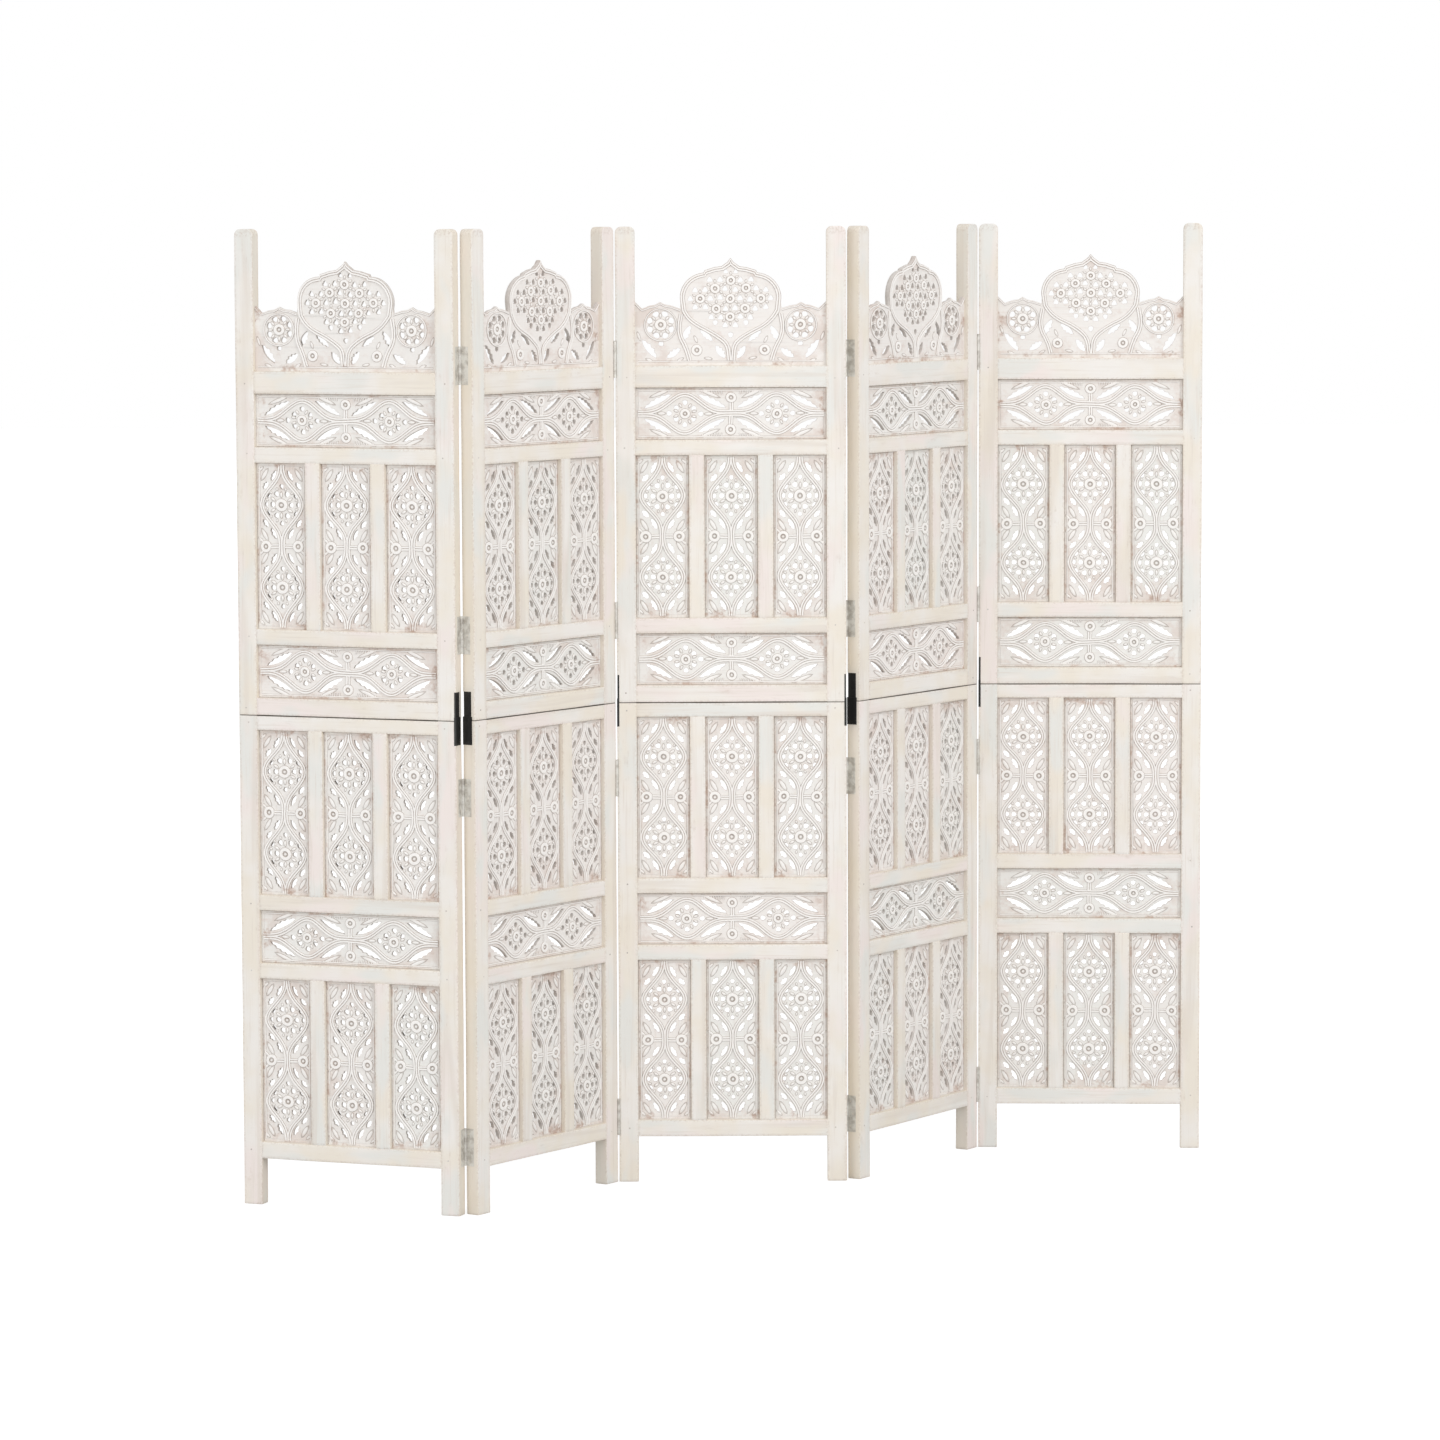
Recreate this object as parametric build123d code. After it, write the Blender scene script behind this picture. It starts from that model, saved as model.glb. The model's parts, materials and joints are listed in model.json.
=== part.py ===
"""Folding jali screen: five carved panels on butt hinges, each panel in two framed halves.

Units are millimetres and +Z is up. The front faces -Y, and the middle panel lies along X.
A panel is first built flat in its own frame: X runs from its left edge to its right one,
Y = 0 is the middle of its thickness and Z = 0 is the floor. The panels are then set in their
zigzag, each turned about the pins of the hinges that it shares with its neighbour.
"""

import math
import os

from build123d import *

# The zigzag: each panel's direction in plan, in degrees, against the middle panel.
PANEL_HEADINGS = (-20.0, 54.0, 0.0, 56.0, -3.0)
MIDDLE_PANEL = 2
# The face that carries the hinge pins of each fold line: +1 is the back, -1 the front.
FOLD_LINE_FACES = (1, -1, 1, -1)
PANEL_GAP = 1.2

# The frame of one panel.
PANEL_THICKNESS = 25.0
POST_WIDTH = 34.0
MUNTIN_WIDTH = 27.0
JALI_WIDTH = 91.0
JALI_HEIGHT = 279.0
FRIEZE_HEIGHT = 89.0
JALI_COLUMNS = 3
FOOT_HEIGHT = 79.0
BOTTOM_RAIL_HEIGHT = 29.0
RAIL_HEIGHT = 27.0
LOWER_SEAM_RAIL_HEIGHT = 25.0
UPPER_SEAM_RAIL_HEIGHT = 30.0
TOP_RAIL_HEIGHT = 38.0
POST_RISE = 237.0
POST_TOP_RADIUS = 10.0

# Joinery.
SLAB_THICKNESS = 11.0
SLAB_RECESS = 6.0
SLAB_SEAT = 4.0
GROOVE_CLEARANCE = 0.15
TENON_LENGTH = 20.0
TENON_THICKNESS = 8.0
TENON_SHOULDER = 6.0
MUNTIN_TENON_LENGTH = 8.0
TENON_CLEARANCE = 0.15

# Piercings of an upright jali slab. A place is measured from the middle of its flower, and
# stands for its mirror images to the other side, above and below.
JALI_PETALS = ((16.0, 0.0), (9.0, 18.0))
PETAL_HOLE_RADIUS = 3.7
JALI_BEADS = ((27.0, 0.0), (25.5, 15.0))
JALI_TIP = 31.0
BEAD_HOLE_RADIUS = 3.0
SIDE_LEAF_PLACE = (29.5, 31.0)
SIDE_LEAF_LENGTH = 13.0
SIDE_LEAF_WIDTH = 6.0
SIDE_LEAF_ANGLE = 50.0
SLASH_PLACE = (14.5, 48.5)
SLASH_LENGTH = 19.0
SLASH_WIDTH = 6.0
SLASH_ANGLE = 61.0
ROSETTE_INSET = 16.5
ROSETTE_HOLE_RADIUS = 2.2

# Piercings of a frieze: two eyes, each with a flower, and long leaves along their lids. Places
# are measured from the middle of an eye in the same way.
EYE_FROM_MIDDLE = 79.0
EYE_HOLES = ((26.5, 0.0), (0.0, 19.0), (14.5, 9.5))
EYE_HOLE_RADIUS = 3.7
LID_LEAF_PLACE = (46.0, 20.5)
LID_LEAF_LENGTH = 48.0
LID_LEAF_WIDTH = 8.5
LID_LEAF_ANGLE = 27.0
FRIEZE_ROSETTE_INSET = 17.0

# The crest: an ogee dome between two small medallions. Heights are above the top rail.
CREST_PEAK = 183.0
CREST_NECK_HALF_WIDTH = 15.0
CREST_NECK_HEIGHT = 169.0
CREST_BROW_HALF_WIDTH = 44.0
CREST_BROW_HEIGHT = 162.0
CREST_NOTCH = 4.0
DOME_SHOULDER_HALF_WIDTH = 77.0
DOME_SHOULDER_HEIGHT = 143.0
DOME_HALF_WIDTH = 86.0
DOME_WIDEST_HEIGHT = 107.0
SADDLE_HEIGHT = 97.0
MEDALLION_INSET = 43.5
MEDALLION_TIP_HEIGHT = 108.0
MEDALLION_BROW_DROP = 6.0
MEDALLION_BROW_HALF_WIDTH = 18.0
CREST_END_HEIGHT = 110.0
CREST_END_RISE_WIDTH = 12.0
# Places on the crest are a distance from its middle line and a height, and are mirrored.
DOME_ROSETTES = ((0.0, 145.0), (27.0, 131.0), (52.0, 114.0), (0.0, 114.0), (25.0, 97.0), (0.0, 83.0))
DOME_DOT_REACH = 17.0
DOME_DOTS_EACH = 6
DOME_DOT_SPACING = 7.5
DOME_DOT_RADIUS = 4.3
LOW_DOTS = ((26.0, 73.0), (0.0, 51.0))
MEDALLION_FLOWER_HEIGHT = 69.0
MEDALLION_RING_RADIUS = 19.0
MEDALLION_PETAL_COUNT = 8
MEDALLION_HOLE_RADIUS = 4.6
MEDALLION_DOT_HEIGHT = 38.0
FOOT_ROSETTE_PLACE = (58.0, 26.0)
CREST_LEAF_WIDTH = 10.0
# Each leaf: distance from the middle, height, turn in degrees and length.
CREST_LEAVES = (
    (76.0, 54.0, -62.0, 31.0),
    (41.0, 51.0, 38.0, 29.0),
    (18.0, 22.0, 56.0, 26.0),
    (97.0, 21.0, -34.0, 28.0),
    (140.0, 28.0, 53.0, 39.0),
)

# Butt hinges, let in flush with the edge faces of the posts. Each barrel lies in the cut-back
# corners of its two posts, and stands a little proud of their faces.
HINGE_HEIGHT = 63.5
HINGE_LEAF_THICKNESS = 1.5
HINGE_LEAF_WIDTH = 16.5
KNUCKLE_COUNT = 5
KNUCKLE_GAP = 0.2
BARREL_RADIUS = 2.5
BARREL_CLEARANCE = 0.3
PIN_RADIUS = 1.2
PIN_CLEARANCE = 0.1
PIN_AXIS_PROUD = 0.8
HINGES_BELOW_POST_TOP = 226.0
HINGES_ABOVE_SEAM = 142.0
HINGES_BELOW_SEAM = 130.0
HINGES_ABOVE_FLOOR = 114.0
HINGE_SCREW_SPACING = 22.0
HINGE_SCREW_STAGGER = 2.5

# Wood screws, countersunk flush.
SCREW_HEAD_RADIUS = 3.0
SCREW_HEAD_DEPTH = 1.3
SCREW_SHANK_RADIUS = 1.6
SCREW_LENGTH = 12.0
SCREW_CLEARANCE = 0.1
SCREW_SLOT_WIDTH = 0.8
SCREW_SLOT_DEPTH = 0.5

# Tongue on the upper half, and the socket on the lower half that it drops into. Both are let
# into the fold-line edges, flush with one face: the front of odd panels and the back of even ones.
STRAP_LET_IN = 3.8
TONGUE_WIDTH = 16.4
TONGUE_THICKNESS = 2.6
TONGUE_ABOVE_SEAM = 48.0
TONGUE_BELOW_SEAM = 28.0
TONGUE_CLEARANCE = 0.2
TONGUE_SCREW_HEIGHTS = (20.0, 36.0)
SOCKET_WIDTH = 19.0
SOCKET_THICKNESS = 3.9
SOCKET_ABOVE_SEAM = 6.0
SOCKET_BELOW_SEAM = 41.0
SOCKET_SCREW_SPACING = 11.0
SOCKET_SCREW_DROP = 35.0

# Sizes that follow from the ones above.
PANEL_COUNT = len(PANEL_HEADINGS)
OPENING_WIDTH = JALI_COLUMNS * JALI_WIDTH + (JALI_COLUMNS - 1) * MUNTIN_WIDTH
PANEL_WIDTH = OPENING_WIDTH + 2 * POST_WIDTH
FRONT = -PANEL_THICKNESS / 2
SLAB_MIDDLE = FRONT + SLAB_RECESS + SLAB_THICKNESS / 2
PIN_AXIS_OFFSET = PANEL_THICKNESS / 2 + PIN_AXIS_PROUD
TONGUE_FACE = TONGUE_THICKNESS - STRAP_LET_IN
SOCKET_FACE = SOCKET_THICKNESS - STRAP_LET_IN

# Each half from its foot up: rails, and the openings between them.
LOWER_STACK = (
    ("foot", FOOT_HEIGHT),
    ("rail", BOTTOM_RAIL_HEIGHT),
    ("jali", JALI_HEIGHT),
    ("rail", RAIL_HEIGHT),
    ("frieze", FRIEZE_HEIGHT),
    ("rail", RAIL_HEIGHT),
    ("jali", JALI_HEIGHT),
    ("rail", LOWER_SEAM_RAIL_HEIGHT),
)
UPPER_STACK = (
    ("rail", UPPER_SEAM_RAIL_HEIGHT),
    ("frieze", FRIEZE_HEIGHT),
    ("rail", RAIL_HEIGHT),
    ("jali", JALI_HEIGHT),
    ("rail", RAIL_HEIGHT),
    ("frieze", FRIEZE_HEIGHT),
    ("rail", TOP_RAIL_HEIGHT),
)
SEAM_HEIGHT = sum(height for _, height in LOWER_STACK)
CREST_FOOT = SEAM_HEIGHT + sum(height for _, height in UPPER_STACK)
SCREEN_HEIGHT = CREST_FOOT + POST_RISE

UPPER_HINGES = (SEAM_HEIGHT + HINGES_ABOVE_SEAM, SCREEN_HEIGHT - HINGES_BELOW_POST_TOP)
LOWER_HINGES = (HINGES_ABOVE_FLOOR, SEAM_HEIGHT - HINGES_BELOW_SEAM)


def block(x_span, y_span, z_span):
    """A box between two limits on each axis."""
    spans = (x_span, y_span, z_span)
    sizes = [abs(end - start) for start, end in spans]
    middle = Vector(*[(start + end) / 2 for start, end in spans])
    return Pos(middle) * Box(*sizes)


def grown(span, margin):
    """A span with a margin added at both ends."""
    return min(span) - margin, max(span) + margin


def cut(solid, tools):
    """The solid with every tool taken out of it."""
    return solid - tools if tools else solid


def one_solid(shape):
    """The single solid that a boolean leaves."""
    return shape.solids()[0]


# --- Layout of a half ---------------------------------------------------------------------


def spans_of(stack, start):
    """The height span of each member of a stack, as (kind, (bottom, top))."""
    spans = []
    for kind, height in stack:
        spans.append((kind, (start, start + height)))
        start += height
    return spans


def column_spans():
    """The width span of each upright jali opening."""
    pitch = JALI_WIDTH + MUNTIN_WIDTH
    starts = [POST_WIDTH + column * pitch for column in range(JALI_COLUMNS)]
    return [(start, start + JALI_WIDTH) for start in starts]


def openings_of(stack, start):
    """Every opening of a half, as (kind, width span, height span)."""
    openings = []
    for kind, heights in spans_of(stack, start):
        if kind == "jali":
            openings += [(kind, columns, heights) for columns in column_spans()]
        if kind == "frieze":
            openings.append((kind, (POST_WIDTH, PANEL_WIDTH - POST_WIDTH), heights))
    return openings


def grooves_of(openings):
    """The grooves that hold the slabs of these openings, as cutting blocks."""
    depth = SLAB_SEAT + GROOVE_CLEARANCE
    thickness = grown((SLAB_MIDDLE, SLAB_MIDDLE), SLAB_THICKNESS / 2 + GROOVE_CLEARANCE)
    return [block(grown(width, depth), thickness, grown(height, depth)) for _, width, height in openings]


def crest_groove():
    """The groove round the foot and ends of the crest slab."""
    depth = SLAB_SEAT + GROOVE_CLEARANCE
    thickness = grown((SLAB_MIDDLE, SLAB_MIDDLE), SLAB_THICKNESS / 2 + GROOVE_CLEARANCE)
    width = grown((POST_WIDTH, PANEL_WIDTH - POST_WIDTH), depth)
    return block(width, thickness, (CREST_FOOT - depth, CREST_FOOT + CREST_END_HEIGHT))


def rail_tenons(heights, clearance):
    """The two tenons of a rail, or with a clearance their mortises."""
    tenon = grown(heights, clearance - TENON_SHOULDER)
    thickness = grown((0, 0), TENON_THICKNESS / 2 + clearance)
    reach = TENON_LENGTH + clearance
    left = block((POST_WIDTH - reach, POST_WIDTH), thickness, tenon)
    right_face = PANEL_WIDTH - POST_WIDTH
    right = block((right_face, right_face + reach), thickness, tenon)
    return [left, right]


def muntin_spans():
    """The width span of each muntin."""
    columns = column_spans()
    return [(left[1], right[0]) for left, right in zip(columns, columns[1:])]


def muntin_tenons(width, heights, clearance):
    """The two tenons of a muntin, or with a clearance their mortises."""
    tenon = grown(width, clearance - TENON_SHOULDER)
    thickness = grown((0, 0), TENON_THICKNESS / 2 + clearance)
    reach = MUNTIN_TENON_LENGTH + clearance
    bottom, top = heights
    return [
        block(tenon, thickness, (bottom - reach, bottom)),
        block(tenon, thickness, (top, top + reach)),
    ]


def jali_rows(stack, start):
    """The height span of each row of upright jali."""
    return [heights for kind, heights in spans_of(stack, start) if kind == "jali"]


# --- Wooden frame -------------------------------------------------------------------------


def make_posts(stack, start, top, rounded, grooves, recesses):
    """Left and right post of a half, with grooves, mortises and recesses for the fittings."""
    thickness = grown((0, 0), PANEL_THICKNESS / 2)
    mortises = []
    for kind, heights in spans_of(stack, start):
        if kind == "rail":
            mortises += rail_tenons(heights, TENON_CLEARANCE)
    posts = []
    for side in ("left", "right"):
        foot = 0 if side == "left" else PANEL_WIDTH - POST_WIDTH
        post = block((foot, foot + POST_WIDTH), thickness, (start, top))
        if rounded:
            post = fillet(post.faces().sort_by(Axis.Z)[-1].edges(), POST_TOP_RADIUS)
        posts.append(one_solid(cut(post, grooves + mortises + recesses[side])))
    return posts


def make_rails(stack, start, grooves):
    """The rails of a half, each with its two tenons."""
    thickness = grown((0, 0), PANEL_THICKNESS / 2)
    mortises = []
    for row in jali_rows(stack, start):
        for width in muntin_spans():
            mortises += muntin_tenons(width, row, TENON_CLEARANCE)
    rails = []
    for kind, heights in spans_of(stack, start):
        if kind == "rail":
            body = block((POST_WIDTH, PANEL_WIDTH - POST_WIDTH), thickness, heights)
            body = body + rail_tenons(heights, 0)
            rails.append(one_solid(cut(body, grooves + mortises)))
    return rails


def make_muntins(stack, start, grooves):
    """The muntins between the upright jali slabs of a half."""
    thickness = grown((0, 0), PANEL_THICKNESS / 2)
    muntins = []
    for row in jali_rows(stack, start):
        for width in muntin_spans():
            body = block(width, thickness, row) + muntin_tenons(width, row, 0)
            muntins.append(one_solid(cut(body, grooves)))
    return muntins


# --- Carved slabs -------------------------------------------------------------------------


def quarters(place):
    """A place in all four quarters, as (x, y, turn sign). A place on an axis is still given four times."""
    x, y = place
    return [(x, y, 1), (-x, y, -1), (-x, -y, 1), (x, -y, -1)]


def round_holes(points, radius):
    """Round piercings at the given points, each point once."""
    return [Pos(x, y) * Circle(radius) for x, y in sorted(set(points))]


def leaf_cut(x, y, angle, length, width):
    """One long leaf-shaped piercing."""
    return Pos(x, y) * Rot(0, 0, angle) * SlotOverall(length, width)


def ring(x, y, radius, count, turn=0.0):
    """Points evenly round a circle."""
    angles = [math.radians(turn + 360 * number / count) for number in range(count)]
    return [(x + radius * math.cos(angle), y + radius * math.sin(angle)) for angle in angles]


def jali_sketch():
    """Face of an upright jali slab, centred on its opening."""
    cuts = []
    for way in (1, -1):
        middle = way * JALI_HEIGHT / 4
        petals = [(x, middle + y) for place in JALI_PETALS for x, y, _ in quarters(place)]
        beads = [(x, middle + y) for place in JALI_BEADS for x, y, _ in quarters(place)]
        tips = [(0, middle + JALI_TIP), (0, middle - JALI_TIP)]
        cuts += round_holes(petals, PETAL_HOLE_RADIUS)
        cuts += round_holes(beads + tips, BEAD_HOLE_RADIUS)
        cuts += round_holes([(way * (JALI_WIDTH / 2 - ROSETTE_INSET), 0)], ROSETTE_HOLE_RADIUS)
        for x, y, sign in quarters(SIDE_LEAF_PLACE):
            cuts.append(leaf_cut(x, middle + y, -sign * SIDE_LEAF_ANGLE, SIDE_LEAF_LENGTH, SIDE_LEAF_WIDTH))
        for x, y, sign in quarters(SLASH_PLACE):
            cuts.append(leaf_cut(x, middle + y, -sign * SLASH_ANGLE, SLASH_LENGTH, SLASH_WIDTH))
    return Rectangle(JALI_WIDTH + 2 * SLAB_SEAT, JALI_HEIGHT + 2 * SLAB_SEAT) - cuts


def frieze_sketch():
    """Face of a frieze slab, centred on its opening."""
    cuts = []
    for way in (1, -1):
        eye = way * EYE_FROM_MIDDLE
        holes = [(eye + x, y) for place in EYE_HOLES for x, y, _ in quarters(place)]
        cuts += round_holes(holes, EYE_HOLE_RADIUS)
        cuts += round_holes([(0, way * (FRIEZE_HEIGHT / 2 - FRIEZE_ROSETTE_INSET))], ROSETTE_HOLE_RADIUS)
        for x, y, sign in quarters(LID_LEAF_PLACE):
            cuts.append(leaf_cut(eye + x, y, -sign * LID_LEAF_ANGLE, LID_LEAF_LENGTH, LID_LEAF_WIDTH))
    return Rectangle(OPENING_WIDTH + 2 * SLAB_SEAT, FRIEZE_HEIGHT + 2 * SLAB_SEAT) - cuts


def crest_half_outline():
    """The crest's edge from its peak down to its right-hand end, as edges."""
    end = OPENING_WIDTH / 2 + SLAB_SEAT
    medallion = OPENING_WIDTH / 2 - MEDALLION_INSET
    neck = (CREST_NECK_HALF_WIDTH, CREST_NECK_HEIGHT)
    brow = (CREST_BROW_HALF_WIDTH, CREST_BROW_HEIGHT)
    notch = (CREST_BROW_HALF_WIDTH + CREST_NOTCH / 2, CREST_BROW_HEIGHT - CREST_NOTCH)
    shoulder = (DOME_SHOULDER_HALF_WIDTH, DOME_SHOULDER_HEIGHT)
    widest = (DOME_HALF_WIDTH, DOME_WIDEST_HEIGHT)
    saddle = (DOME_HALF_WIDTH + 1, SADDLE_HEIGHT)
    tip = (medallion, MEDALLION_TIP_HEIGHT)
    brow_height = MEDALLION_TIP_HEIGHT - MEDALLION_BROW_DROP
    brow_in = (medallion - MEDALLION_BROW_HALF_WIDTH, brow_height)
    brow_out = (medallion + MEDALLION_BROW_HALF_WIDTH, brow_height)
    dip = (OPENING_WIDTH / 2 - CREST_END_RISE_WIDTH, SADDLE_HEIGHT)
    top_end = (end, CREST_END_HEIGHT - GROOVE_CLEARANCE)
    foot_end = (end, -SLAB_SEAT)
    return [
        Line((0, CREST_PEAK), neck),
        Line(neck, brow),
        Line(brow, notch),
        ThreePointArc(notch, shoulder, widest),
        Line(widest, saddle),
        Line(saddle, brow_in),
        Line(brow_in, tip),
        Line(tip, brow_out),
        Line(brow_out, dip),
        Line(dip, top_end),
        Line(top_end, foot_end),
        Line(foot_end, (0, -SLAB_SEAT)),
    ]


def both_sides(places):
    """Places and their mirror images across the crest's middle line."""
    return sorted({(way * x, y) for x, y in places for way in (1, -1)})


def dome_dots():
    """The dots round the dome's rosettes. Neighbouring rosettes share the dots between them."""
    dots = []
    for x, y in both_sides(DOME_ROSETTES):
        for dot in ring(x, y, DOME_DOT_REACH, DOME_DOTS_EACH):
            if all(math.dist(dot, other) > DOME_DOT_SPACING for other in dots):
                dots.append(dot)
    return dots


def crest_sketch():
    """Face of the crest slab. Its origin is the middle of the top rail's upper face."""
    half = make_face(Wire(crest_half_outline() + [Line((0, -SLAB_SEAT), (0, CREST_PEAK))]))
    cuts = round_holes(dome_dots() + both_sides(LOW_DOTS), DOME_DOT_RADIUS)
    cuts += round_holes(both_sides([FOOT_ROSETTE_PLACE]), ROSETTE_HOLE_RADIUS)
    medallion = OPENING_WIDTH / 2 - MEDALLION_INSET
    half_turn = 180 / MEDALLION_PETAL_COUNT
    for way in (1, -1):
        centre = (way * medallion, MEDALLION_FLOWER_HEIGHT)
        petals = ring(*centre, MEDALLION_RING_RADIUS, MEDALLION_PETAL_COUNT, half_turn)
        cuts += round_holes(petals, MEDALLION_HOLE_RADIUS)
        cuts += round_holes([(way * medallion, MEDALLION_DOT_HEIGHT)], DOME_DOT_RADIUS)
        for x, y, angle, length in CREST_LEAVES:
            cuts.append(leaf_cut(way * x, y, way * angle, length, CREST_LEAF_WIDTH))
    return half + mirror(half, Plane.YZ) - cuts


def stand_slab(sketch, x, z):
    """A slab cut to a sketch, stood upright in the middle of its groove."""
    flat = extrude(sketch, SLAB_THICKNESS / 2, both=True)
    return one_solid(Pos(x, SLAB_MIDDLE, z) * Rot(90, 0, 0) * flat)


def make_slabs(openings, sketches):
    """One slab for each opening."""
    slabs = []
    for kind, width, height in openings:
        slabs.append(stand_slab(sketches[kind], sum(width) / 2, sum(height) / 2))
    return slabs


# --- Steel fittings on the post edges -----------------------------------------------------
# A depth is a distance out of the edge face of a post, into the gap between two panels.


def edge_x(side, depth):
    """The X of a depth on the left or right edge of a panel."""
    return -depth if side == "left" else PANEL_WIDTH + depth


def edge_block(side, depths, y_span, z_span):
    """A block on an edge of the panel."""
    return block([edge_x(side, depth) for depth in depths], y_span, z_span)


def edge_pointing_in(side, depth, y, z):
    """A place on an edge, its Z axis pointing into the post."""
    turn = 90 if side == "left" else -90
    return Pos(edge_x(side, depth), y, z) * Rot(0, turn, 0)


def screw_cutter(side, depth, y, z):
    """The countersunk hole of one screw, through the plate and into the post."""
    cone_top = SCREW_HEAD_RADIUS + SCREW_CLEARANCE
    cone_foot = SCREW_SHANK_RADIUS + SCREW_CLEARANCE
    reach = SCREW_LENGTH + SCREW_CLEARANCE
    align = (Align.CENTER, Align.CENTER, Align.MIN)
    place = edge_pointing_in(side, depth, y, z)
    cone = place * Cone(cone_top, cone_foot, SCREW_HEAD_DEPTH, align=align)
    shank = place * Cylinder(cone_foot, reach, align=align)
    return cone + shank


def screw(side, depth, y, z):
    """One countersunk wood screw, its head flush at the given depth."""
    align = (Align.CENTER, Align.CENTER, Align.MIN)
    place = edge_pointing_in(side, depth, y, z)
    body = Cone(SCREW_HEAD_RADIUS, SCREW_SHANK_RADIUS, SCREW_HEAD_DEPTH, align=align)
    body = body + Cylinder(SCREW_SHANK_RADIUS, SCREW_LENGTH, align=align)
    for turn in (0, 90):
        slot = Box(2 * SCREW_SHANK_RADIUS, SCREW_SLOT_WIDTH, 2 * SCREW_SLOT_DEPTH)
        body = body - Rot(0, 0, turn) * slot
    return one_solid(place * body)


def knuckle_spans(middle, first):
    """The height spans of the knuckles of one leaf of a hinge."""
    pitch = HINGE_HEIGHT / KNUCKLE_COUNT
    bottom = middle - HINGE_HEIGHT / 2
    spans = []
    for number in range(first, KNUCKLE_COUNT, 2):
        start = bottom + number * pitch
        spans.append(grown((start, start + pitch), -KNUCKLE_GAP / 2))
    return spans


def hinge_screw_places(middle, face):
    """Where the screws of one leaf stand, as (y, z)."""
    plate_middle = PANEL_THICKNESS / 2 - HINGE_LEAF_WIDTH / 2
    places = []
    for number in (-1, 0, 1):
        stagger = HINGE_SCREW_STAGGER if number == 0 else -HINGE_SCREW_STAGGER
        y = face * (plate_middle - stagger)
        places.append((y, middle + number * HINGE_SCREW_SPACING))
    return places


def round_the_pin(side, face, radius, z_span):
    """A cylinder on the pin axis of an edge."""
    place = Pos(edge_x(side, PANEL_GAP / 2), face * PIN_AXIS_OFFSET, sum(z_span) / 2)
    return place * Cylinder(radius, z_span[1] - z_span[0])


def hinge_plate(side, face, middle):
    """The flat plate of one leaf, let in from the face that carries the pins."""
    near = face * PANEL_THICKNESS / 2
    width = (near, near - face * HINGE_LEAF_WIDTH)
    return edge_block(side, (-HINGE_LEAF_THICKNESS, 0), width, grown((middle, middle), HINGE_HEIGHT / 2))


def hinge_leaf(side, face, middle):
    """One leaf of a butt hinge with its knuckles. The right edge of a panel has the odd ones."""
    z_span = grown((middle, middle), HINGE_HEIGHT / 2)
    plate = hinge_plate(side, face, middle)
    leaf = plate - round_the_pin(side, face, BARREL_RADIUS + BARREL_CLEARANCE, z_span)
    root_foot = PIN_AXIS_OFFSET - BARREL_RADIUS - 2 * BARREL_CLEARANCE
    root_width = (face * PIN_AXIS_OFFSET, face * root_foot)
    for knuckle in knuckle_spans(middle, 0 if side == "right" else 1):
        root = edge_block(side, (-HINGE_LEAF_THICKNESS, 0), root_width, knuckle)
        leaf = leaf + root + round_the_pin(side, face, BARREL_RADIUS, knuckle)
    bore = round_the_pin(side, face, PIN_RADIUS + PIN_CLEARANCE, z_span)
    holes = [screw_cutter(side, 0, y, z) for y, z in hinge_screw_places(middle, face)]
    return one_solid(leaf - [bore] - holes)


def hinge_pin(side, face, middle):
    """The pin of a hinge, as long as its barrel."""
    return one_solid(round_the_pin(side, face, PIN_RADIUS, grown((middle, middle), HINGE_HEIGHT / 2)))


def hinge_edges(panel):
    """The edges of a panel that carry hinges, as (side, hinge face)."""
    edges = []
    if panel > 0:
        edges.append(("left", FOLD_LINE_FACES[panel - 1]))
    if panel < PANEL_COUNT - 1:
        edges.append(("right", FOLD_LINE_FACES[panel]))
    return edges


def make_hinges(panel, heights):
    """The leaves, pins and screws that belong to one half of a panel."""
    pieces = []
    for side, face in hinge_edges(panel):
        for middle in heights:
            pieces.append(hinge_leaf(side, face, middle))
            if side == "right":
                pieces.append(hinge_pin(side, face, middle))
            for y, z in hinge_screw_places(middle, face):
                pieces.append(screw(side, 0, y, z))
    return pieces


def strap_middle(panel):
    """The Y of the middle line of a panel's tongues and sockets."""
    face = -1 if panel % 2 == 0 else 1
    return face * (PANEL_THICKNESS - SOCKET_WIDTH) / 2


def tongue_screw_places(panel):
    """Where the screws of a tongue stand, as (y, z)."""
    return [(strap_middle(panel), SEAM_HEIGHT + height) for height in TONGUE_SCREW_HEIGHTS]


def socket_screw_places(panel):
    """Where the screws of a socket stand, as (y, z)."""
    z = SEAM_HEIGHT - SOCKET_SCREW_DROP
    return [(strap_middle(panel) + way * SOCKET_SCREW_SPACING / 2, z) for way in (-1, 1)]


def strap_block(panel, side, depths, width, heights):
    """A block on an edge, about the middle line of the straps. Heights are from the seam."""
    middle = strap_middle(panel)
    levels = [SEAM_HEIGHT + height for height in heights]
    return edge_block(side, depths, grown((middle, middle), width / 2), levels)


def make_tongues(panel):
    """The tongue plates on the fold-line edges of an upper half, with their screws."""
    pieces = []
    depths = (-STRAP_LET_IN, TONGUE_FACE)
    places = tongue_screw_places(panel)
    for side, _ in hinge_edges(panel):
        plate = strap_block(panel, side, depths, TONGUE_WIDTH, (-TONGUE_BELOW_SEAM, TONGUE_ABOVE_SEAM))
        holes = [screw_cutter(side, TONGUE_FACE, y, z) for y, z in places]
        pieces.append(one_solid(plate - holes))
        pieces += [screw(side, TONGUE_FACE, y, z) for y, z in places]
    return pieces


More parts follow.
